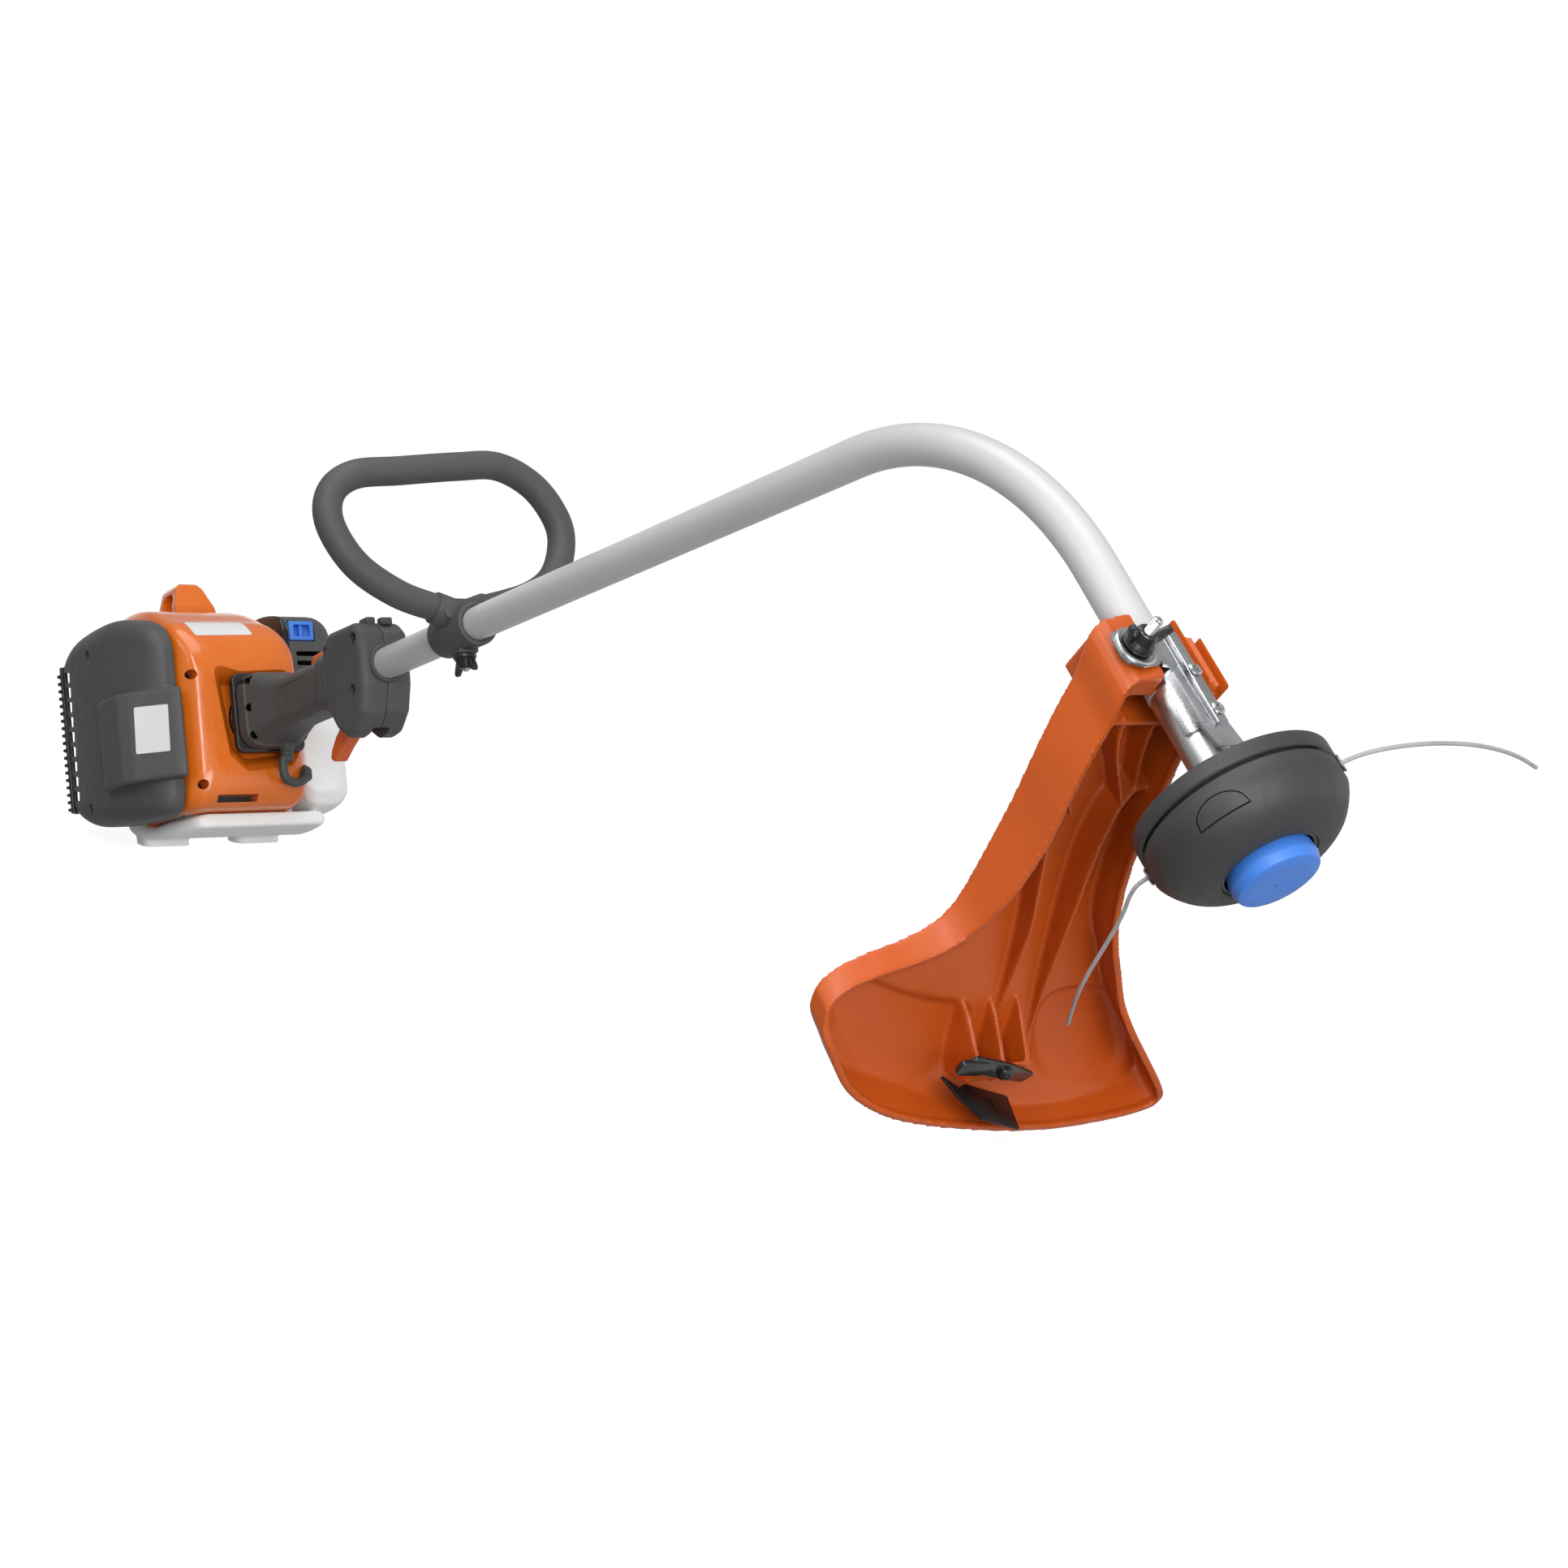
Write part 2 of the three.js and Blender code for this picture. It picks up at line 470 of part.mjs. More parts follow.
const FILTER_COVER = [[-302, FILTER_Y, 78, 30, 88, 12], [-311, FILTER_Y, 88, 20, 98, 18],
  [-345, FILTER_Y, 98, 15, 104, 22], [-385, FILTER_Y, 98, 15, 102, 22], [-396, FILTER_Y, 88, 20, 92, 18]];
const STARTER = [[-398.5, PARTING_Y, FILTER_Y + 12, -53, 114, 30],
  [-425, PARTING_Y, FILTER_Y + 10, -46, 112, 30], [-446, PARTING_Y + 6, FILTER_Y, -40, 98, 32],
  [-452, PARTING_Y + 18, FILTER_Y - 12, -32, 84, 30]];
const TRAY = [[-300, -44, 76, -82, -67, 7], [-328, -62, 88, -85, -69, 8], [-360, -78, 92, -81, -65, 8],
  [-395, -80, 90, -72, -56, 8], [-428, -66, 80, -62, -48, 6]];

const shrunk = (sections, by) => sections.map(([x, y0, y1, z0, z1, r]) =>
  [x, y0 + by, y1 - by, z0 + by, z1 - by, Math.max(r - by, 2)]);
const stretchedBack = (sections, to) => [...sections, [to, ...sections.at(-1).slice(1)]];

function groundCut() {
  const block = box(-700, 200, -300, 300, -300, 0);
  return block.translate(0, 0, -SHAFT_HEIGHT).rotateY(SHAFT_RISE);
}

function buildCovers() {
  const [trayFront, trayBack] = [TRAY[0].slice(1), TRAY.at(-1).slice(1)];
  const trayGap = loftX([[-299, ...trayFront], ...TRAY.slice(1, -1), [-429, ...trayBack]], 2 * FIT);
  const hollow = shrunk(COWL.slice(1), WALL).map(([x, ...rest]) => [x - 1, ...rest]);
  const cowlInside = loftX(stretchedBack(hollow, -420));
  const clutchHole = rod(V(-300, 0, 0), V(-260, 0, 0), 27, 24);
  const underside = box(-420, -299, PARTING_Y - 1, FILTER_Y + 1, -120, -54);
  const intake = rod(V(-345, FILTER_Y - 12, 60), V(-345, FILTER_Y + 2, 60), 13, 12);
  const exhaustPort = box(-344, -322, PARTING_Y - 3, PARTING_Y + 6, 42, 62);
  const slot = box(-300, -270, -52, -18, -76, -69);
  add(shaftFrame, 'engine_cowl', 'orange',
    cut(loftX(COWL), cowlInside, clutchHole, underside, intake, exhaustPort, slot, trayGap));

  const vents = Array.from({ length: 8 }, (_, i) => box(-446, -424, -140, -99, -36 + i * 14, -28 + i * 14));
  const coverInside = loftX(shrunk(MUFFLER_COVER, WALL).map(([x, y0, , z0, z1, r], i) =>
    [Math.max(i === 0 ? x - 3 : x, -447), y0, PARTING_Y + 12, z0, z1, r]));
  const bulge = loftX([[-277, -90, -78, -44, 20, 3], [-288, -102, -78, -50, 25, 5],
    [-330, -117, -78, -52, 28, 6], [-352, -119, -78, -50, 26, 6]]);
  const exhaust = box(-366, -334, -140, -104, 42, 62);
  add(shaftFrame, 'muffler_cover', 'grey',
    cut(join(loftX(MUFFLER_COVER), bulge), coverInside, ...vents, exhaust, trayGap));

  const filterInside = loftX(shrunk(FILTER_COVER, WALL).map(([x, , y1, z0, z1, r], i) =>
    [x + [-3, -3, 0, 0, 3][i], FILTER_Y - 3, y1, z0, z1, r]));
  const grille = Array.from({ length: 2 }, (_, i) => box(-325, -295, 52, 76, 50 + i * 9, 54 + i * 9));
  const leverSlot = box(-318, -290, 44.6, 69.4, 73.6, 92.4);
  const primerHole = rod(V(-325, 60, 38), V(-290, 60, 38), 10, 12);
  add(shaftFrame, 'air_filter_cover', 'grey', cut(loftX(FILTER_COVER), filterInside, ...grille, leverSlot,
    primerHole));

  const hull = shrunk(STARTER, WALL);
  const [hullFront, hullBack] = [hull[0].slice(1), hull[3].slice(1)];
  const starterInside = loftX([[-396, ...hullFront], ...hull.slice(0, 3), [-449, ...hullBack]]);
  const ropeHole = rod(V(STARTER_STATION, 0, 90), V(STARTER_STATION, 0, 130), 4.5, 12);
  const airSlots = Array.from({ length: 6 }, (_, i) => box(-470, -440, -36, 16, -18 + i * 14, -11 + i * 14));
  const relief = box(-460, -396, FILTER_Y - 1, FILTER_Y + 30, -90, 16);
  add(shaftFrame, 'starter_housing', 'orange',
    cut(loftX(STARTER), starterInside, ropeHole, ...airSlots, relief));
}

function buildEngine() {
  add(shaftFrame, 'clutch_housing', 'black', turnedX([
    [-262.6, 13.1], [-262.6, 26], [-286, 26], [-290, 31.2], [-301, 31.2], [-301, 29], [-291.4, 29],
    [-291.4, 13.1], [-262.6, 13.1]], 24));
  add(shaftFrame, 'clutch_drum', 'steel', turnedX([[-266, 0], [-266, 7], [-292, 7], [-292, 28.2],
    [-300.6, 28.2], [-300.6, 26.2], [-294, 26.2], [-294, 0]], 20));
  add(shaftFrame, 'clutch_shoes', 'steel', tubeX(-300.6, -295.4, 6.4, 25.2, 16));
  add(shaftFrame, 'crankshaft', 'steel', turnedX([
    [-295, 0], [-295, 6.1], [-304, 6.1], [-304, 8], [-319, 8], [-319, 23], [-343, 23], [-343, 8],
    [-371, 8], [-371, 6.4], [-392, 6.4], [-392, 0]], 16));
  add(shaftFrame, 'flywheel', 'alloy', tubeX(-388, -373, 6.8, 34, 24));
  const crankcase = loftX([[-366, -31, 31, -40, 29, 12], [-303, -31, 31, -40, 29, 12]]);
  const bores = [rod(V(-370, 0, 0), V(-295, 0, 0), 9, 16), rod(V(-347, 0, 0), V(-315, 0, 0), 25, 20),
    rod(V(-331, 0, 10), V(-331, 0, 32), 17.4, 16)];
  add(shaftFrame, 'crankcase', 'alloy', cut(crankcase, ...bores));
  const fins = [];
  for (let z = 34; z <= 74; z += 10) fins.push([z, 22], [z, 31], [z + 2.4, 31], [z + 2.4, 22]);
  add(shaftFrame, 'cylinder', 'alloy', turnedZ([[29.4, 17.4], [29.4, 22], ...fins, [84, 20], [84, 5.4],
    [72, 5.4], [72, 17.4], [29.4, 17.4]], 14).translate(-331, 0, 0));
  add(shaftFrame, 'piston', 'alloy', turnedZ([[36, 16.9], [60, 16.9], [62, 0], [56, 0], [56, 13], [36, 13],
    [36, 16.9]], 16).translate(-331, 0, 0));
  const plug = turnedZ([[74, 0], [74, 5], [84.4, 5], [84.4, 9], [90, 9], [90, 5], [101, 4], [101, 0]], 12);
  add(shaftFrame, 'spark_plug', 'porcelain', plug.translate(-331, 0, 0));
  const port = box(-342, -324, -80, -32, 44, 60);
  add(shaftFrame, 'muffler', 'steel', join(box(-380, -322, -104, -78, 8, 70), port));
  add(shaftFrame, 'carburetor', 'alloy', join(box(-362, -328, FILTER_Y + 3.4, 62, 44, 76),
    rod(V(-345, 31.6, 60), V(-345, FILTER_Y + 5, 60), 11, 12)));
  add(shaftFrame, 'air_filter', 'foam', loftX([[-382, 64, 88, 30, 86, 8], [-334, 64, 88, 30, 86, 8]]));
  add(shaftFrame, 'choke_lever', 'blue', join(box(-315, -299.5, 45.4, 68.6, 74.4, 91.6),
    rod(V(-314, 57, 83), V(-322, 57, 83), 3, 10)));
  add(shaftFrame, 'primer_bulb', 'nylon', turnedX([[0, 0], [0, 9], [6, 8], [11, 4.5], [12, 0]], 16)
    .translate(-309, 60, 38));
}

function buildStarter() {
  add(shaftFrame, 'starter_pulley', 'black', turnedX([[-394, 0], [-394, 26], [-397, 26], [-397, 22],
    [-405, 22], [-405, 26], [-408, 26], [-408, 0]], 20));
  const strap = [[-14, 0], [-13, 14], [-9, 32], [-4, 36], [11, 36], [16, 31], [25, 12], [28, 0]];
  const fingers = [[-12, 8], [-12, 23], [-8, 28], [8, 28], [12, 23], [12, 8]];
  const grip = cut(frontSlab(strap, -HANDLE_REACH, HANDLE_REACH), sideSlab(fingers, -40, 50));
  grip.translate(STARTER_STATION, 0, HANDLE_SEAT);
  const ropeSeat = rod(V(STARTER_STATION, 0, 100), V(STARTER_STATION, 0, HANDLE_SEAT + 3), 2.2, 10);
  add(shaftFrame, 'starter_handle', 'orange', cut(grip, ropeSeat));
  const rope = rod(V(STARTER_STATION, 0, 96), V(STARTER_STATION, 0, HANDLE_SEAT + 2.6), 1.8, 8);
  add(shaftFrame, 'starter_rope', 'nylon', rope);
}

function buildTank() {
  const [inner, outer] = [FILTER_Y - 4, FILTER_Y + 1.5];
  const upper = loftX([[-303, -40, inner, -80, -46, 10], [-330, -42, inner, -80, -44, 10],
    [-366, -42, inner, -76, -44, 10], [-392, -42, inner, -66, -46, 8]]);
  const bulge = loftX([[-290, outer, 76, -66, -4, 12], [-300, outer, 86, -76, 11, 16],
    [-340, outer, 93, -78, 13.6, 18], [-390, outer, 93, -70, 13.6, 18], [-412, outer, 86, -62, 4, 14]]);
  const feet = [[-396, -376, 13, 52], [-396, -376, -72, -34], [-424, -408, 30, 66], [-424, -408, -60, -34]]
    .map(([x0, x1, y0, y1]) => cut(box(x0, x1, y0, y1, -125, -66), groundCut()));
  add(shaftFrame, 'fuel_tank', 'tank', join(loftX(TRAY), upper, bulge, ...feet));
  add(shaftFrame, 'fuel_cap', 'black', rod(V(-350, 93.4, -30), V(-350, 104, -30), 15, 16));
}

// ---- Throttle cable, held along its whole route ----
function buildCable() {
  const route = smooth([V(-252, 8, -19), V(-252, 8, -32), V(-253, 4, -45), V(-254, 6, -57), V(-256, 16, -61),
    V(-259, 26, -57), V(-264, 31, -50), V(-275, 32, -46)], 20);
  add(shaftFrame, 'throttle_cable', 'grey', bar(route, 3.6, V(0.7, -0.2, 0.7), 8));
}

buildShaft();
buildHead();
buildGuard();
buildBracket();
buildLoopHandle();
buildControls();
buildCovers();
buildEngine();
buildStarter();
buildTank();
buildCable();

// The origin is the centre of the base of the object's box, without the loose line ends.
trimmer.updateMatrixWorld(true);
const bounds = new THREE.Box3();
trimmer.traverse((item) => {
  if (item.isMesh && !item.name.startsWith('line_end')) bounds.expandByObject(item, true);
});
trimmer.position.set(-(bounds.min.x + bounds.max.x) / 2, -(bounds.min.y + bounds.max.y) / 2, -bounds.min.z);
trimmer.updateMatrixWorld(true);

export default trimmer;
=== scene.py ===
"""Curved-shaft petrol string trimmer: the visible pieces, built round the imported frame.

Pieces are drawn in millimetres in the shaft's own frame or the cutting head's own frame, then set into
the shared frame in metres.
"""

import json
import logging
import math
from dataclasses import dataclass
from enum import Enum
from typing import Iterable, Optional, Sequence

import bpy
import numpy as np
from mathutils import Matrix, Vector


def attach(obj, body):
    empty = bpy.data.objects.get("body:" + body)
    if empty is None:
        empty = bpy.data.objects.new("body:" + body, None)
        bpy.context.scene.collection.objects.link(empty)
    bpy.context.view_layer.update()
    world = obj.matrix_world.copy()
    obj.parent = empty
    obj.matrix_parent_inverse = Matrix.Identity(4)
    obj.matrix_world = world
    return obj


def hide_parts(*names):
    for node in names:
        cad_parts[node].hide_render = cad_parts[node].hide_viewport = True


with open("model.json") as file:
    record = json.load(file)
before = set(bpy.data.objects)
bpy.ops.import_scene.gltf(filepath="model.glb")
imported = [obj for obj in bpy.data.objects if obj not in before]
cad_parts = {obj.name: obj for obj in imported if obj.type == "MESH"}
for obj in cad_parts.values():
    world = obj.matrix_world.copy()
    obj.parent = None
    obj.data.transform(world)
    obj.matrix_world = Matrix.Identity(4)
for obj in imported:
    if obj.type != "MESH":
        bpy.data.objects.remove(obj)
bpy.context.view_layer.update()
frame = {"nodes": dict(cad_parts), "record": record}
LOG = logging.getLogger("trimmer")
NODES = frame["nodes"]
BODY_OF = {node: body for body, nodes in frame["record"]["behaviour"]["bodies"].items() for node in nodes}

MM = 0.001
SHAFT_RISE = math.radians(18)
SHAFT_ORIGIN = (-0.225414, 0.009, 0.207)
HEAD_ORIGIN = (0.612166, 0.009, 0.244093)
HEAD_TURN = math.radians(134)
TUBE_RADIUS = 12.7
TUBE_BORE = 12.95
SOFT_EDGE = 35.0
HALF_TURNS = (0.0, math.pi)

Point2 = tuple[float, float]
Point3 = tuple[float, float, float]
Shape = bpy.types.Object


def at(x: float, y: float, z: float) -> Matrix:
    """A move to a place."""
    return Matrix.Translation((x, y, z))


def about(axis: str, angle: float) -> Matrix:
    """A turn about an axis, in radians."""
    return Matrix.Rotation(angle, 4, axis)


SHAFT = at(*SHAFT_ORIGIN) @ about("Y", -SHAFT_RISE) @ Matrix.Scale(MM, 4)
HEAD = at(*HEAD_ORIGIN) @ about("Y", HEAD_TURN) @ Matrix.Scale(MM, 4)


# ---------------------------------------------------------------- outlines
def flowing(points: Sequence[Sequence[float]], steps: int = 8,
            closed: bool = False) -> list[tuple[float, ...]]:
    """Runs a smooth line through points.

    Args:
        points: the places it passes through.
        steps: places laid between each pair.
        closed: whether the line returns to its start.
    Returns:
        The places along the line.
    """
    p = [np.array(q, float) for q in points]
    n = len(p)
    out: list[tuple[float, ...]] = []
    for i in range(n if closed else n - 1):
        a, b, c, d = (p[(i + k) % n] if closed else p[min(max(i + k, 0), n - 1)] for k in (-1, 0, 1, 2))
        for k in range(steps):
            t = k / steps
            out.append(tuple(0.5 * (2 * b + (c - a) * t + (2 * a - 5 * b + 4 * c - d) * t * t
                                    + (3 * b - a - 3 * c + d) * t ** 3)))
    if not closed:
        out.append(tuple(p[-1]))
    return out


def rounded(points: Sequence[Point2], radius: float, steps: int = 4, closed: bool = True) -> list[Point2]:
    """Rounds each corner of an outline.

    Args:
        points: the corners.
        radius: the size of each round.
        steps: straight bits in each round.
        closed: whether the last corner joins the first.
    Returns:
        The rounded outline.
    """
    n = len(points)
    out: list[Point2] = []
    for i, point in enumerate(points):
        if not closed and i in (0, n - 1):
            out.append((float(point[0]), float(point[1])))
            continue
        p, a, b = (np.array(q, float) for q in (point, points[i - 1], points[(i + 1) % n]))
        la, lb = np.linalg.norm(a - p), np.linalg.norm(b - p)
        u, v = (a - p) / la, (b - p) / lb
        half = math.acos(max(-1.0, min(1.0, float(u @ v)))) / 2
        t = min(radius / max(math.tan(half), 1e-3), 0.48 * la, 0.48 * lb)
        s, e = p + u * t, p + v * t
        for k in range(steps + 1):
            w = k / steps
            q = (1 - w) ** 2 * s + 2 * w * (1 - w) * p + w * w * e
            out.append((float(q[0]), float(q[1])))
    return out


def round_rect(a0: float, a1: float, b0: float, b1: float, radius: float, steps: int = 6) -> list[Point2]:
    """The outline of a rectangle with round corners, always with the same count of points."""
    r = min(radius, (a1 - a0) / 2 - 0.01, (b1 - b0) / 2 - 0.01)
    centres = [(a1 - r, b1 - r), (a0 + r, b1 - r), (a0 + r, b0 + r), (a1 - r, b0 + r)]
    return [(a + r * math.cos((c + i / steps) * math.pi / 2),
             b + r * math.sin((c + i / steps) * math.pi / 2))
            for c, (a, b) in enumerate(centres) for i in range(steps + 1)]


def inset(outline: Sequence[Point2], distance: float) -> list[Point2]:
    """The outline moved inwards by distance, for one that runs anticlockwise."""
    out = []
    n = len(outline)
    for i in range(n):
        a, b = np.array(outline[i - 1]), np.array(outline[(i + 1) % n])
        along = (b - a) / max(np.linalg.norm(b - a), 1e-9)
        out.append((outline[i][0] - along[1] * distance, outline[i][1] + along[0] * distance))
    return out


# ---------------------------------------------------------------- modelling steps
class Along(Enum):
    """The way an outline is pushed out, and the two axes it is drawn on."""

    X = 0
    Y = 1
    Z = 2

    def lift(self, a: float, b: float, depth: float) -> Point3:
        """The place of outline point (a, b) at that depth."""
        return {Along.X: (depth, a, b), Along.Y: (a, depth, b), Along.Z: (a, b, depth)}[self]


class Bench:
    """Blender's own modelling tools, used on one shape at a time in millimetres."""

    @staticmethod
    def pick(*shapes: Shape) -> None:
        """Selects just these shapes; the first is the active one."""
        if bpy.context.mode != "OBJECT":
            bpy.ops.object.mode_set(mode="OBJECT")
        bpy.ops.object.select_all(action="DESELECT")
        for shape in shapes:
            shape.select_set(True)
        if shapes:
            bpy.context.view_layer.objects.active = shapes[0]

    @staticmethod
    def edit(shape: Shape) -> None:
        """Opens a shape for editing with everything selected."""
        Bench.pick(shape)
        bpy.ops.object.mode_set(mode="EDIT")
        bpy.ops.mesh.select_all(action="SELECT")

    @staticmethod
    def close(outward: bool = True, weld: float = 1e-3) -> None:
        """Ends editing, with doubles merged and faces turned outwards."""
        bpy.ops.mesh.select_all(action="SELECT")
        bpy.ops.mesh.remove_doubles(threshold=weld)
        if outward:
            bpy.ops.mesh.normals_make_consistent(inside=False)
        bpy.ops.object.mode_set(mode="OBJECT")

    @staticmethod
    def lay(name: str, points: Sequence[Sequence[float]], faces: Sequence[Sequence[int]],
            edges: Sequence[Sequence[int]] = ()) -> Shape:
        """A new shape from points and the faces or edges between them."""
        mesh = bpy.data.meshes.new(name)
        mesh.from_pydata([tuple(p) for p in points], list(edges), list(faces))
        shape = bpy.data.objects.new(name, mesh)
        bpy.context.scene.collection.objects.link(shape)
        return shape

    @staticmethod
    def slab(name: str, outline: Sequence[Point2], low: float, high: float, along: Along,
             bevel: float = 0.0, segments: int = 3) -> Shape:
        """A flat outline pushed out into a slab.

        Args:
            name: the shape's name.
            outline: the corners, in order.
            low: where it starts along the axis.
            high: where it ends.
            along: the axis.
            bevel: the round along its two rims.
            segments: the steps of that round.
        Returns:
            The slab.
        """
        shape = Bench.lay(name, [along.lift(a, b, low) for a, b in outline], [range(len(outline))])
        Bench.edit(shape)
        bpy.ops.mesh.extrude_region_move(TRANSFORM_OT_translate={"value": along.lift(0, 0, high - low)})
        Bench.close()
        if bevel:
            Bench.round_edges(shape, bevel, segments, 50)
        return shape

    @staticmethod
    def turned(name: str, profile: Sequence[Point2], along: Along = Along.Z, steps: int = 72) -> Shape:
        """A closed profile of (place along the axis, radius) spun once round the axis."""
        axis = along.lift(0, 0, 1)
        across = {Along.X: lambda a, r: (a, r, 0), Along.Y: lambda a, r: (r, a, 0),
                  Along.Z: lambda a, r: (r, 0, a)}
        points = [across[along](a, r) for a, r in profile]
        n = len(points)
        shape = Bench.lay(name, points, [], [(i, (i + 1) % n) for i in range(n)])
        Bench.edit(shape)
        bpy.ops.mesh.spin(steps=steps, angle=2 * math.pi, center=(0, 0, 0), axis=axis)
        Bench.close(weld=2e-3)
        return shape

    @staticmethod
    def loft(name: str, rings: Sequence[Sequence[Point3]], looped: bool = False) -> Shape:
        """A skin over rings of equal point counts, with both ends closed unless it is looped."""
        n, rows = len(rings[0]), len(rings)
        faces = [[k * n + i, k * n + (i + 1) % n, ((k + 1) % rows) * n + (i + 1) % n,
                  ((k + 1) % rows) * n + i]
                 for k in range(rows if looped else rows - 1) for i in range(n)]
        if not looped:
            faces += [list(range(n))[::-1], list(range((rows - 1) * n, rows * n))]
        shape = Bench.lay(name, [p for ring in rings for p in ring], faces)
        Bench.edit(shape)
        Bench.close()
        return shape

    @staticmethod
    def strand(name: str, route: Sequence[Sequence[float]], radius: float, sides: int) -> Shape:
        """A bevelled curve along a route, with closed ends."""
        curve = bpy.data.curves.new(name, "CURVE")
        curve.dimensions = "3D"
        curve.bevel_depth, curve.bevel_resolution, curve.use_fill_caps = radius, sides, True
        line = curve.splines.new("POLY")
        line.points.add(len(route) - 1)
        for point, place in zip(line.points, route):
            point.co = (*place, 1)
        strand = bpy.data.objects.new(name, curve)
        bpy.context.scene.collection.objects.link(strand)
        return strand

    @staticmethod
    def bar(name: str, route: Sequence[Sequence[float]], radius: float, sides: int = 6) -> Shape:
        """A round bar along a route, made as a bevelled curve and turned into a mesh."""
        Bench.pick(Bench.strand(name, route, radius, sides))
        bpy.ops.object.convert(target="MESH")
        shape = bpy.context.object
        Bench.edit(shape)
        Bench.close()
        return shape

    @staticmethod
    def block(name: str, low: Point3, high: Point3, bevel: float = 0.0, segments: int = 3) -> Shape:
        """A block between two corners, its edges rounded by bevel."""
        Bench.pick()
        bpy.ops.mesh.primitive_cube_add(size=1, location=[(a + b) / 2 for a, b in zip(low, high)],
                                        scale=[b - a for a, b in zip(low, high)])
        shape = Bench.settle(name)
        if bevel:
            Bench.round_edges(shape, bevel, segments)
        return shape

    @staticmethod
    def rod(name: str, start: Point3, end: Point3, radius: float, sides: int = 32,
            end_radius: Optional[float] = None, bevel: float = 0.0) -> Shape:
        """A round rod or cone between two places."""
        a, b = Vector(start), Vector(end)
        Bench.pick()
        bpy.ops.mesh.primitive_cone_add(vertices=sides, radius1=radius, radius2=radius
                                        if end_radius is None else
                                        end_radius, depth=(b - a).length, location=(a + b) / 2,
                                        rotation=(b - a).to_track_quat("Z", "Y").to_euler())
        shape = Bench.settle(name)
        if bevel:
            Bench.round_edges(shape, bevel, 2, 40)
        return shape

    @staticmethod
    def settle(name: str) -> Shape:
        """Names the new primitive and puts its place into its mesh."""
        shape = bpy.context.object
        shape.name = shape.data.name = name
        bpy.ops.object.transform_apply(location=True, rotation=True, scale=True)
        return shape

    @staticmethod
    def finish_modifier(shape: Shape, kind: str, **values: object) -> None:
        """Adds a modifier with these values and applies it."""
        Bench.pick(shape)
        modifier = shape.modifiers.new(kind.lower(), kind)
        for key, value in values.items():
            setattr(modifier, key, value)
        bpy.ops.object.modifier_apply(modifier=modifier.name)

    @staticmethod
    def round_edges(shape: Shape, width: float, segments: int = 3, degrees: float = 30) -> None:
        """Rounds every edge sharper than an angle."""
        Bench.finish_modifier(shape, "BEVEL", width=width, segments=segments, limit_method="ANGLE",
                              angle_limit=math.radians(degrees), use_clamp_overlap=True,
                              harden_normals=False)

    @staticmethod
    def carve(shape: Shape, *tools: Shape, operation: str = "DIFFERENCE") -> Shape:
        """Cuts tools out of a shape, or joins or intersects them; the tools are used up."""
        for tool in tools:
            Bench.finish_modifier(shape, "BOOLEAN", object=tool, operation=operation, solver="EXACT")
            bpy.data.objects.remove(tool)
        return shape

    @staticmethod
    def join(shape: Shape, *tools: Shape) -> Shape:
        """Joins other shapes onto a shape."""
        return Bench.carve(shape, *tools, operation="UNION")

    @staticmethod
    def trim(shape: Shape, *tools: Shape) -> Shape:
        """Keeps only what a shape shares with others."""
        return Bench.carve(shape, *tools, operation="INTERSECT")

    @staticmethod
    def fuse(name: str, *shapes: Shape) -> Shape:
        """Puts several shapes in one mesh."""
        Bench.pick(*shapes)
        bpy.ops.object.join()
        shape = bpy.context.object
        shape.name = shape.data.name = name
        return shape

    @staticmethod
    def mould(shape: Shape, voxel: float, passes: int = 4, keep: float = 1.0) -> Shape:
        """Melts overlapping shapes into one moulded skin with soft corners.

        Args:
            shape: the overlapping closed shapes in one mesh.
            voxel: the size of the finest detail.
            passes: how often the skin is smoothed.
            keep: the share of faces kept.
        Returns:
            The moulded shape.
        """
        Bench.finish_modifier(shape, "REMESH", mode="VOXEL", voxel_size=voxel, adaptivity=0.0)
        for _ in range(passes):
            Bench.finish_modifier(shape, "SMOOTH", factor=0.6, iterations=2)
            Bench.finish_modifier(shape, "SMOOTH", factor=-0.55, iterations=2)
        if keep < 1:
            Bench.finish_modifier(shape, "DECIMATE", ratio=keep)
        return shape

    @staticmethod
    def shade(shape: Shape, degrees: float = SOFT_EDGE) -> Shape:
        """Shades a shape smooth, except across edges sharper than an angle."""
        Bench.pick(shape)
        bpy.ops.object.shade_smooth_by_angle(angle=math.radians(degrees))
        return shape

    @staticmethod
    def place(shape: Shape, where: Matrix) -> Shape:
        """Moves a shape, or sets it into the shared frame, with its place in its mesh."""
        shape.matrix_world = where
        Bench.pick(shape)
        bpy.ops.object.transform_apply(location=True, rotation=True, scale=True)
        return shape


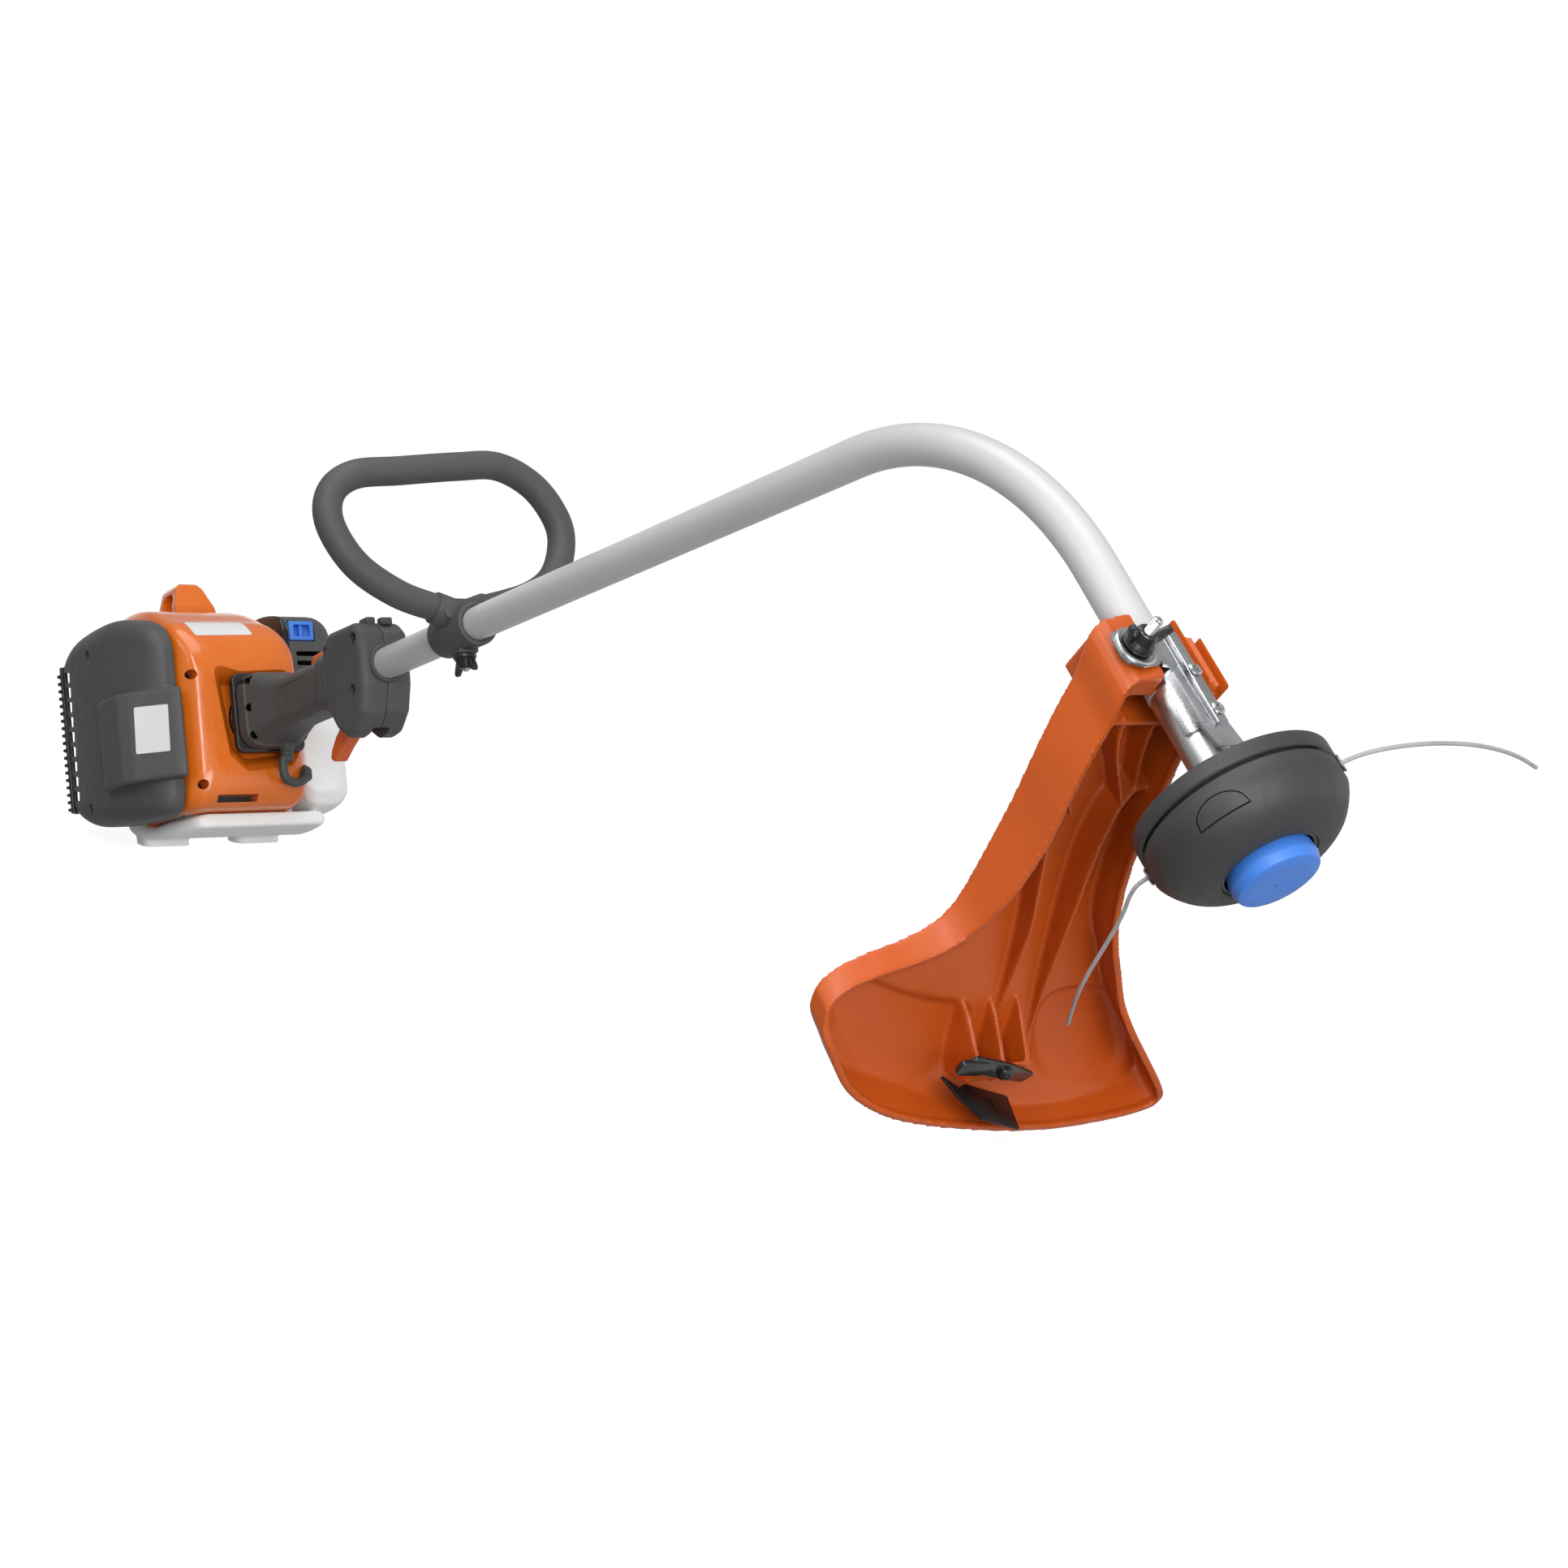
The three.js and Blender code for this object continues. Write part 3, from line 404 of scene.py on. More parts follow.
# ---------------------------------------------------------------- finishes
class Nodes:
    """A short way to lay out a material's nodes."""

    def __init__(self, name: str) -> None:
        """Starts a material with one Principled surface."""
        self.material = bpy.data.materials.new(name)
        self.material.use_nodes = True
        self.tree = self.material.node_tree
        self.surface = next(n for n in self.tree.nodes if n.type == "BSDF_PRINCIPLED")
        self.place = self.tree.nodes.new("ShaderNodeTexCoord").outputs["Object"]

    def add(self, kind: str, **values: object) -> bpy.types.Node:
        """Adds a node and sets its values, or its inputs where the name is one."""
        node = self.tree.nodes.new(kind)
        for key, value in values.items():
            if key in node.inputs:
                node.inputs[key].default_value = value
            else:
                setattr(node, key, value)
        return node

    def link(self, source: bpy.types.NodeSocket, target: bpy.types.NodeSocket) -> None:
        """Joins two sockets."""
        self.tree.links.new(source, target)

    def noise(self, scale: float, detail: float = 3.0, stretch: Point3 = (1, 1, 1), turn: float = 0.0
              ) -> bpy.types.NodeSocket:
        """A noise pattern on the piece's own coordinates."""
        mapping = self.add("ShaderNodeMapping", Scale=stretch, Rotation=(0, turn, 0))
        self.link(self.place, mapping.inputs["Vector"])
        noise = self.add("ShaderNodeTexNoise", Scale=scale, Detail=detail, Roughness=0.6)
        self.link(mapping.outputs["Vector"], noise.inputs["Vector"])
        return noise.outputs["Fac"]

    def between(self, fac: bpy.types.NodeSocket, low: float, high: float, start: float = 0.3,
                end: float = 0.7
                ) -> bpy.types.NodeSocket:
        """A number that runs from low to high as fac runs from start to end."""
        node = self.add("ShaderNodeMapRange", **{"From Min": start, "From Max": end, "To Min": low,
                                                 "To Max": high})
        self.link(fac, node.inputs["Value"])
        return node.outputs["Result"]

    def blend(self, fac: bpy.types.NodeSocket, a: Sequence[float],
              b: Sequence[float]) -> bpy.types.NodeSocket:
        """A colour that runs from a to b with fac."""
        ramp = self.add("ShaderNodeValToRGB")
        ramp.color_ramp.elements[0].position, ramp.color_ramp.elements[1].position = 0.3, 0.7
        ramp.color_ramp.elements[0].color, ramp.color_ramp.elements[1].color = (*a, 1), (*b, 1)
        self.link(fac, ramp.inputs["Fac"])
        return ramp.outputs["Color"]

    def paint(self, fac: bpy.types.NodeSocket, a: Sequence[float], b: Sequence[float]) -> None:
        """Colours the surface from a to b with fac."""
        self.link(self.blend(fac, a, b), self.surface.inputs["Base Color"])

    def dull(self, fac: bpy.types.NodeSocket, low: float, high: float) -> None:
        """Roughens the surface from low to high with fac."""
        self.link(self.between(fac, low, high), self.surface.inputs["Roughness"])

    def bump(self, *layers: tuple[bpy.types.NodeSocket, float, float]) -> None:
        """Lays bumps of (pattern, strength, height in metres) one over the other on the surface."""
        last = None
        for pattern, strength, height in layers:
            node = self.add("ShaderNodeBump", Strength=strength, Distance=height)
            self.link(pattern, node.inputs["Height"])
            if last is not None:
                self.link(last, node.inputs["Normal"])
            last = node.outputs["Normal"]
        self.link(last, self.surface.inputs["Normal"])

    def set(self, **values: object) -> None:
        """Sets the surface's own values."""
        for key, value in values.items():
            self.surface.inputs[key.replace("_", " ")].default_value = value


@dataclass(frozen=True)
class Moulding:
    """A moulded plastic or rubber.

    Attributes:
        name: the finish's name.
        colour: its colour.
        tone: the slightly different colour it drifts to.
        rough: how dull it is.
        grain: size of the spark-eroded texture, per metre.
        relief: how strong that texture is.
        coat: share of a glossy skin.
        glow: share of light that passes into it.
    """

    name: str
    colour: Point3
    tone: Point3
    rough: float = 0.45
    grain: float = 1600.0
    relief: float = 0.12
    coat: float = 0.0
    glow: float = 0.0

    def make(self) -> bpy.types.Material:
        """Lays out the material."""
        n = Nodes(self.name)
        cloud, fine, scuff = n.noise(14, 4), n.noise(self.grain, 2), n.noise(160, 5, (1, 1, 0.35))
        n.paint(cloud, self.colour, self.tone)
        n.dull(scuff, self.rough - 0.06, self.rough + 0.08)
        n.bump((fine, self.relief, 0.00012), (cloud, 0.05, 0.0008))
        n.set(Specular_IOR_Level=0.5, Coat_Weight=self.coat, Coat_Roughness=0.08)
        if self.glow:
            n.set(Subsurface_Weight=self.glow, Subsurface_Radius=(0.006, 0.003, 0.002),
                  Subsurface_Scale=1.0)
        return n.material


@dataclass(frozen=True)
class Metal:
    """A bare or plated metal.

    Attributes:
        name: the finish's name.
        colour: its colour.
        tone: the duller colour in its cloudy parts.
        rough: how dull it is.
        brushed: how much finer the grain is across than along.
        relief: how strong the grain is.
    """

    name: str
    colour: Point3
    tone: Point3
    rough: float = 0.3
    brushed: Point3 = (1, 1, 1)
    relief: float = 0.1

    def make(self) -> bpy.types.Material:
        """Lays out the material."""
        n = Nodes(self.name)
        cloud, lines = n.noise(55, 5), n.noise(700, 4, self.brushed, HEAD_TURN)
        n.paint(cloud, self.tone, self.colour)
        n.dull(lines, self.rough - 0.08, self.rough + 0.12)
        n.bump((lines, self.relief, 0.0001), (cloud, 0.12, 0.0006))
        n.set(Metallic=1.0)
        return n.material


@dataclass(frozen=True)
class Enamel:
    """Powder paint with its faint orange peel."""

    name: str
    colour: Point3
    tone: Point3
    rough: float = 0.34

    def make(self) -> bpy.types.Material:
        """Lays out the material."""
        n = Nodes(self.name)
        cloud, peel, dust = n.noise(9, 3), n.noise(420, 2), n.noise(2600, 1)
        n.paint(cloud, self.colour, self.tone)
        n.dull(dust, self.rough - 0.05, self.rough + 0.1)
        n.bump((peel, 0.12, 0.00025), (dust, 0.08, 0.00008))
        n.set(Coat_Weight=0.25, Coat_Roughness=0.2)
        return n.material


@dataclass(frozen=True)
class Clear:
    """A see-through or milky plastic."""

    name: str
    colour: Point3
    tone: Point3
    rough: float = 0.35
    through: float = 0.2

    def make(self) -> bpy.types.Material:
        """Lays out the material."""
        n = Nodes(self.name)
        cloud, fine = n.noise(30, 3), n.noise(900, 2)
        n.paint(cloud, self.colour, self.tone)
        n.dull(fine, self.rough - 0.05, self.rough + 0.1)
        n.bump((fine, 0.1, 0.0001), (cloud, 0.06, 0.0008))
        n.set(Transmission_Weight=self.through, IOR=1.45, Subsurface_Weight=0.25,
              Subsurface_Radius=(0.01, 0.01, 0.009), Subsurface_Scale=1.0)
        return n.material


@dataclass(frozen=True)
class Foam:
    """Open-cell foam, or twisted cord, by its cell size."""

    name: str
    colour: Point3
    tone: Point3
    cells: float = 700.0

    def make(self) -> bpy.types.Material:
        """Lays out the material."""
        n = Nodes(self.name)
        voronoi = n.add("ShaderNodeTexVoronoi", Scale=self.cells)
        n.link(n.place, voronoi.inputs["Vector"])
        n.paint(voronoi.outputs["Distance"], self.tone, self.colour)
        n.dull(n.noise(90, 4), 0.85, 1.0)
        n.bump((voronoi.outputs["Distance"], 0.6, 0.0006))
        return n.material


ORANGE, ORANGE_TONE = (0.49, 0.076, 0.005), (0.53, 0.088, 0.007)
FINISHES = {finish.name: finish for finish in (
    Moulding("guard_plastic", ORANGE, ORANGE_TONE, 0.40, 1300, 0.10),
    Moulding("cowl_plastic", (0.68, 0.140, 0.008), (0.72, 0.158, 0.011), 0.24, 1300, 0.04, 0.4),
    Moulding("trigger_plastic", (0.66, 0.10, 0.01), (0.70, 0.12, 0.014), 0.4),
    Moulding("head_plastic", (0.034, 0.034, 0.035), (0.044, 0.043, 0.043), 0.52, 2200, 0.22),
    Moulding("black_plastic", (0.012, 0.012, 0.013), (0.02, 0.02, 0.021), 0.28, 1500, 0.08, 0.2),
    Moulding("grey_plastic", (0.062, 0.063, 0.065), (0.074, 0.075, 0.077), 0.55, 1500, 0.25),
    Moulding("grip_rubber", (0.066, 0.066, 0.067), (0.08, 0.08, 0.081), 0.62, 900, 0.3),
    Moulding("blue_plastic", (0.05, 0.20, 0.68), (0.06, 0.225, 0.74), 0.42, 1500, 0.12),
    Moulding("cable_jacket", (0.05, 0.051, 0.053), (0.06, 0.061, 0.063), 0.5, 1100, 0.2),
    Moulding("label", (0.66, 0.68, 0.70), (0.72, 0.73, 0.74), 0.32, 2500, 0.05, 0.2),
    Moulding("groove", (0.075, 0.062, 0.052), (0.10, 0.084, 0.07), 0.45, 1500, 0.1),
    Enamel("painted_tube", (0.50, 0.505, 0.51), (0.54, 0.54, 0.545)),
    Metal("bare_alloy", (0.72, 0.73, 0.74), (0.62, 0.63, 0.64), 0.36, (1, 8, 1), 0.12),
    Metal("steel", (0.50, 0.51, 0.52), (0.36, 0.37, 0.38), 0.38),
    Metal("zinc_plate", (0.66, 0.67, 0.69), (0.42, 0.43, 0.45), 0.24, (1, 5, 1), 0.12),
    Metal("black_steel", (0.03, 0.03, 0.032), (0.05, 0.05, 0.052), 0.42),
    Clear("nylon_line", (0.42, 0.43, 0.44), (0.52, 0.53, 0.54), 0.3, 0.35),
    Clear("clear_rubber", (0.6, 0.62, 0.6), (0.7, 0.72, 0.7), 0.2, 0.5),
    Moulding("tank_plastic", (0.86, 0.87, 0.87), (0.90, 0.91, 0.91), 0.38, 900, 0.08, 0.0, 0.3),
    Enamel("porcelain", (0.8, 0.8, 0.79), (0.74, 0.74, 0.73), 0.15),
    Foam("filter_foam", (0.03, 0.03, 0.03), (0.008, 0.008, 0.008)),
    Foam("rope", (0.55, 0.55, 0.53), (0.25, 0.25, 0.24), 900.0))}
MADE: dict[str, bpy.types.Material] = {}


def material(name: str) -> bpy.types.Material:
    """The finish's material, made once."""
    if name not in MADE:
        MADE[name] = FINISHES[name].make()
    return MADE[name]


def dress(shape: Shape, finish: str, body: str, nodes: Iterable[str] = (),
          degrees: float = SOFT_EDGE) -> Shape:
    """Gives a finished shape its finish, its body and the CAD nodes it stands for.

    Args:
        shape: the finished shape.
        finish: the finish's name.
        body: the CAD body it moves with.
        nodes: the CAD nodes that it replaces.
        degrees: the sharpest edge that is shaded smooth.
    Returns:
        The shape.
    """
    Bench.shade(shape, degrees)
    shape.data.materials.clear()
    shape.data.materials.append(material(finish))
    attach(shape, body)
    nodes = list(nodes)
    if nodes:
        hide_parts(*nodes)
    LOG.info("%s: %d faces on %s", shape.name, len(shape.data.polygons), body)
    return shape


def stand_in(shape: Shape, where: Matrix, finish: str, *nodes: str, degrees: float = SOFT_EDGE) -> Shape:
    """Sets a shape in place on the body of the CAD nodes that it stands for."""
    return dress(Bench.place(shape, where), finish, BODY_OF[nodes[0]], nodes, degrees)


def added(shape: Shape, where: Matrix, finish: str, beside: str, degrees: float = SOFT_EDGE) -> Shape:
    """Sets a detail that has no CAD node of its own in place, on the body of the node beside it."""
    return dress(Bench.place(shape, where), finish, BODY_OF[beside], (), degrees)


# ---------------------------------------------------------------- camera, light and floor
@dataclass
class Studio:
    """Plain pale floor, soft lights and the camera."""

    eye: Point3 = (1.5226, -0.9576, 0.3793)
    forward: Point3 = (-0.78765, 0.60259, -0.12836)
    right: Point3 = (0.59872, 0.79778, 0.07128)
    up: Point3 = (-0.14535, 0.02071, 0.98914)
    lens: float = 58.38

    def camera(self) -> None:
        """Sets the camera where the trimmer is seen from low in front of the head."""
        data = bpy.data.cameras.new("camera")
        data.lens, data.sensor_width, data.clip_start = self.lens, 36, 0.01
        camera = bpy.data.objects.new("camera", data)
        bpy.context.scene.collection.objects.link(camera)
        turn = Matrix([self.right, self.up, [-v for v in self.forward]]).transposed()
        camera.matrix_world = at(*self.eye) @ turn.to_4x4()
        bpy.context.scene.camera = camera

    def lamp(self, name: str, place: Point3, aim: Point3, size: Point2, power: float) -> None:
        """Hangs one soft box at a place, pointing at another."""
        data = bpy.data.lights.new(name, "AREA")
        data.shape, data.size, data.size_y, data.energy = "RECTANGLE", size[0], size[1], power
        lamp = bpy.data.objects.new(name, data)
        bpy.context.scene.collection.objects.link(lamp)
        lamp.location = place
        lamp.rotation_euler = (Vector(aim) - Vector(place)).to_track_quat("-Z", "Y").to_euler()

    def sky(self) -> None:
        """An even white surround, brighter overhead and dim below the floor."""
        world = bpy.data.worlds.new("surround")
        world.use_nodes = True
        bpy.context.scene.world = world
        tree = world.node_tree
        background = tree.nodes["Background"]
        coordinates = tree.nodes.new("ShaderNodeTexCoord")
        split = tree.nodes.new("ShaderNodeSeparateXYZ")
        ramp = tree.nodes.new("ShaderNodeValToRGB")
        ramp.color_ramp.elements[0].position, ramp.color_ramp.elements[0].color = 0.0, (0.50, 0.50, 0.50, 1)
        ramp.color_ramp.elements[1].position, ramp.color_ramp.elements[1].color = 1.0, (0.5, 0.5, 0.5, 1)
        for position, level in ((0.40, 0.50), (0.47, 1.0), (0.60, 1.0), (0.66, 0.42)):
            stop = ramp.color_ramp.elements.new(position)
            stop.color = (level, level, level, 1)
        half = tree.nodes.new("ShaderNodeMapRange")
        half.inputs["From Min"].default_value, half.inputs["From Max"].default_value = -1.0, 1.0
        tree.links.new(coordinates.outputs["Generated"], split.inputs["Vector"])
        tree.links.new(split.outputs["Z"], half.inputs["Value"])
        tree.links.new(half.outputs["Result"], ramp.inputs["Fac"])
        tree.links.new(ramp.outputs["Color"], background.inputs["Color"])
        side = tree.nodes.new("ShaderNodeMapRange")
        for name, value in (("From Min", -0.5), ("From Max", 0.0), ("To Min", 0.35), ("To Max", 1.0)):
            side.inputs[name].default_value = value
        tree.links.new(split.outputs["Y"], side.inputs["Value"])
        tree.links.new(side.outputs["Result"], background.inputs["Strength"])

    def floor(self) -> None:
        """A matt white floor that isn't part of the object."""
        Bench.pick()
        bpy.ops.mesh.primitive_plane_add(size=30, location=(0, 0, 0))
        floor = Bench.settle("floor")
        n = Nodes("floor_paint")
        n.paint(n.noise(0.6, 2), (0.33, 0.33, 0.33), (0.35, 0.35, 0.35))
        n.set(Roughness=1.0, Specular_IOR_Level=0.0, Emission_Color=(1, 1, 1, 1), Emission_Strength=0.87)
        floor.data.materials.append(n.material)
        floor.visible_diffuse = False
        floor.visible_glossy = False

    def build(self) -> None:
        """Sets up everything that isn't the object."""
        bpy.context.scene.view_settings.view_transform = "Standard"
        self.camera()
        self.sky()
        self.lamp("overhead", (0.1, -0.3, 2.2), (0.1, 0, 0.2), (2.0, 1.2), 22)
        self.lamp("key", (0.1, -1.9, 1.5), (0.1, 0, 0.2), (1.3, 1.0), 8)
        self.lamp("strip", (1.0, -1.0, 1.2), (-0.5, 0, 0.2), (0.25, 0.9), 9)
        self.lamp("right", (2.0, -0.7, 0.5), (0.4, 0, 0.1), (1.1, 0.8), 20)
        self.floor()


# ---------------------------------------------------------------- cutting head
@dataclass
class LineEnds:
    """The two loose nylon ends, as bevelled curves."""

    plane: float = 47.0
    diameter: float = 2.4
    steps: int = 4
    sides: int = 4
    front: tuple[Point2, ...] = ((-46.6, 31.4), (-52.5, 39), (-57.5, 53), (-60.8, 74), (-61.6, 98),
                                 (-59.6, 125), (-54.5, 152), (-47.5, 176), (-38.5, 199))
    rear: tuple[Point2, ...] = ((46.6, -31.4), (54, -34.4), (64, -32), (79, -25), (97, -18.5), (117, -12.5),
                                (139, -6), (163, 3.4), (190.6, 17.6))

    def build(self) -> None:
        """Lays each end along its route as a bevelled curve."""
        for name, route in (("front", self.front), ("rear", self.rear)):
            places = [HEAD @ Vector((*p, self.plane)) for p in flowing(route, self.steps)]
            end = Bench.strand(f"nylon_{name}", places, self.diameter / 2 * MM, self.sides)
            end.data.materials.append(material("nylon_line"))
            node = f"line_end_{name}"
            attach(end, BODY_OF[node])
            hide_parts(node)


@dataclass
class CuttingHead:
    """Cover, housing with its latch panels, eyelets, spool groove and bump knob."""

    radius: float = 56.0
    eyelet_angle: float = math.radians(146)
    latch_angle: float = math.radians(-119)
    line_plane: float = 47.0
    knob_radius: float = 24.5
    rim_lift: float = 3.2
    rim_lift_reach: float = 0.30
    rim_step: float = 1.4
    rim_step_start: float = 0.36
    lobe: float = 0.9
    lobe_reach: float = 0.42
    exit_hollow: float = 2.2
    exit_hollow_reach: float = 0.13

    def cover(self) -> None:
        """The disc over the head, with a rolled rim that steps down round the line exits."""
        profile = rounded([(26, 6.4), (26, 17), (29, 19.5), (30, 46), (30.6, self.radius - 4),
                           (32.5, self.radius),
                           (41.6, self.radius), (42.6, self.radius - 1.2), (42.6, self.radius - 3.0),
                           (35, self.radius - 3.8), (34, 12), (38, 10), (38, 6.4)], 1.1, 3)
        shape = Bench.turned("disc_cover", profile, steps=144)
        for vertex in shape.data.vertices:
            x, y, z = vertex.co
            around = min(self.off_eyelet(math.atan2(y, x), turn) for turn in HALF_TURNS)
            if math.hypot(x, y) > self.radius - 5 and z > 36:
                lift = self.rim_lift * max(0.0, 1 - around / self.rim_lift_reach) ** 0.6
                vertex.co.z += lift - self.rim_step * (around > self.rim_step_start)
        stand_in(shape, HEAD, "head_plastic", "head_cover")

    def off_eyelet(self, angle: float, turn: float) -> float:
        """How far round an angle is from an eyelet, in radians."""
        return abs((angle - self.eyelet_angle - turn + math.pi) % (2 * math.pi) - math.pi)

    def housing(self) -> None:
        """The bowl, with a belly, a lip, a lobe at each eyelet and two sunk latch panels."""
        belly = flowing([(43.4, 54.6), (48, 55.3), (53, 54.9), (58, 53.2), (63, 50.4), (67.5, 46.6),
                         (71.2, 41.6), (73.8, 36.2), (75.0, 31.6)], 5)
        rim = [(75.4, 30.4), (75.4, 27.4), (74.8, 26.9), (72.4, 26.8)]
        inside = [(72.4, 32), (69.5, 39.6), (64, 44.6), (56, 48), (36, 48.6), (36, 51.4), (42.6, 51.6)]
        shape = Bench.turned("bowl", [*belly, *rim, *inside], steps=180)
        for vertex in shape.data.vertices:
            x, y, z = vertex.co
            reach, angle = math.hypot(x, y), math.atan2(y, x)
            away = min(self.off_eyelet(angle, turn) for turn in HALF_TURNS)
            if reach > 47 and 44 < z < 70:
                swell = 0.5 + 0.5 * math.cos(math.pi * min(away / self.lobe_reach, 1))
                lobe = swell * (0.5 + 0.5 * math.cos(math.pi * min(abs(z - 55) / 14, 1)))
                hollow = max(0.0, 1 - (away / self.exit_hollow_reach) ** 2) * max(0.0, 1 - abs(z - 46) / 9)
                grow = 1 + (self.lobe * lobe - self.exit_hollow * hollow) / reach
                vertex.co.x *= grow
                vertex.co.y *= grow
        for turn in HALF_TURNS:
            Bench.carve(shape, self.latch_groove(self.latch_angle + turn))
            Bench.carve(shape, Bench.rod("hole", self.rim(self.eyelet_angle + turn, 44),
                                         self.rim(self.eyelet_angle + turn, 62), 4.3, 32))
        stand_in(shape, HEAD, "head_plastic", "head_housing")
        for k, turn in enumerate(HALF_TURNS):
            added(self.latch_pad(self.latch_angle + turn, k), HEAD, "head_plastic", "head_housing")

    def rim(self, angle: float, reach: float) -> Point3:
        """A place round the head in the plane of the line."""
        return (reach * math.cos(angle), reach * math.sin(angle), self.line_plane)

    @staticmethod
    def latch_outline(grow: float) -> list[Point2]:
        """The D of a latch panel: across, and down the bowl."""
        arc = [(14.4 * math.cos(a), 60.4 - 9.6 * math.sin(a))
               for a in np.linspace(0.38, math.pi - 0.38, 15)]
        points = [(14.4, 61.4), *arc, (-14.4, 61.4)]
        return [(x * (1 + grow / 14.4), 56 + (z - 56) * (1 + grow / 6.5)) for x, z in points]

    def latch_groove(self, angle: float) -> Shape:
        """The narrow groove round a latch panel, as a cutting tool."""
        outer = Bench.slab("groove", self.latch_outline(0.45), 40, 70, Along.Y)
        inner = Bench.slab("land", self.latch_outline(-0.5), 30, 80, Along.Y)
        Bench.carve(outer, inner)
        skin = [(44, 52.6), (44, 60), (66, 60), (66, 47.2), (62.5, 48.8), (57, 51), (50, 53.9)]
        keep = Bench.turned("shell", skin, steps=72)
        Bench.trim(outer, keep)
        return Bench.place(outer, about("Z", angle - math.pi / 2))

    def latch_pad(self, angle: float, index: int) -> Shape:
        """The slightly raised rough pad inside a latch groove."""
        pad = Bench.slab(f"latch_pad_{index}", self.latch_outline(-0.9), 40, 70, Along.Y)
        shell = [(46, 53.6), (46, 55.6), (50, 55.5), (55.5, 53.8), (57.4, 52.8), (62.6, 50.6), (66, 48.6),
                 (66, 46.6), (62, 48.6), (57, 50.8), (50, 53.4)]
        skin = Bench.turned("skin", shell, steps=120)
        Bench.trim(pad, skin)
        return Bench.place(pad, about("Z", angle - math.pi / 2))

    def knob(self) -> None:
        """The bump knob, with a soft edge and a gate mark."""
        r = self.knob_radius
        profile = rounded([(68.4, 6.4), (68.4, r - 1.4), (80, r), (85.4, r - 1.6), (86.4, r - 8),
                           (86.35, 0.0), (70.6, 0.0), (70.6, 6.4)], 2.2, 5)
        profile = [(a, max(b, 0.0)) for a, b in profile]
        shape = Bench.turned("knob", profile, steps=96)
        Bench.carve(shape, Bench.rod("gate", (3, -2, 85.6), (3, -2, 90), 1.5, 24, 2.2))
        Bench.join(shape, Bench.rod("pip", (3, -2, 85.0), (3, -2, 86.0), 0.7, 16))
        stand_in(shape, HEAD, "blue_plastic", "bump_knob")

    def groove(self) -> None:
        """The brownish ring inside the bowl's mouth, round the knob."""
        profile = rounded([(70.2, 24.9), (73.6, 24.9), (74.6, 25.6), (74.6, 26.6), (71.4, 27.0),
                           (70.2, 31.5)], 0.3, 2)
        added(Bench.turned("mouth_ring", profile, steps=96), HEAD, "groove", "head_housing")

    def eyelets(self) -> None:
        """The two flared steel eyelets."""
        profile = rounded([(47.6, 2.2), (54.6, 2.2), (56.6, 3.4), (57.2, 4.6), (56.4, 5.0), (55.0, 4.1),
                           (47.6, 4.1)], 0.4, 3)
        for name, turn in (("front", 0.0), ("rear", math.pi)):
            shape = Bench.turned(f"eyelet_{name}", profile, Along.X, 40)
            Bench.place(shape, at(0, 0, self.line_plane) @ about("Z", self.eyelet_angle + turn))
            stand_in(shape, HEAD, "steel", f"line_eyelet_{name}")

    def build(self) -> None:
        """Builds the head."""
        self.cover()
        self.housing()
        self.knob()
        self.groove()
        self.eyelets()


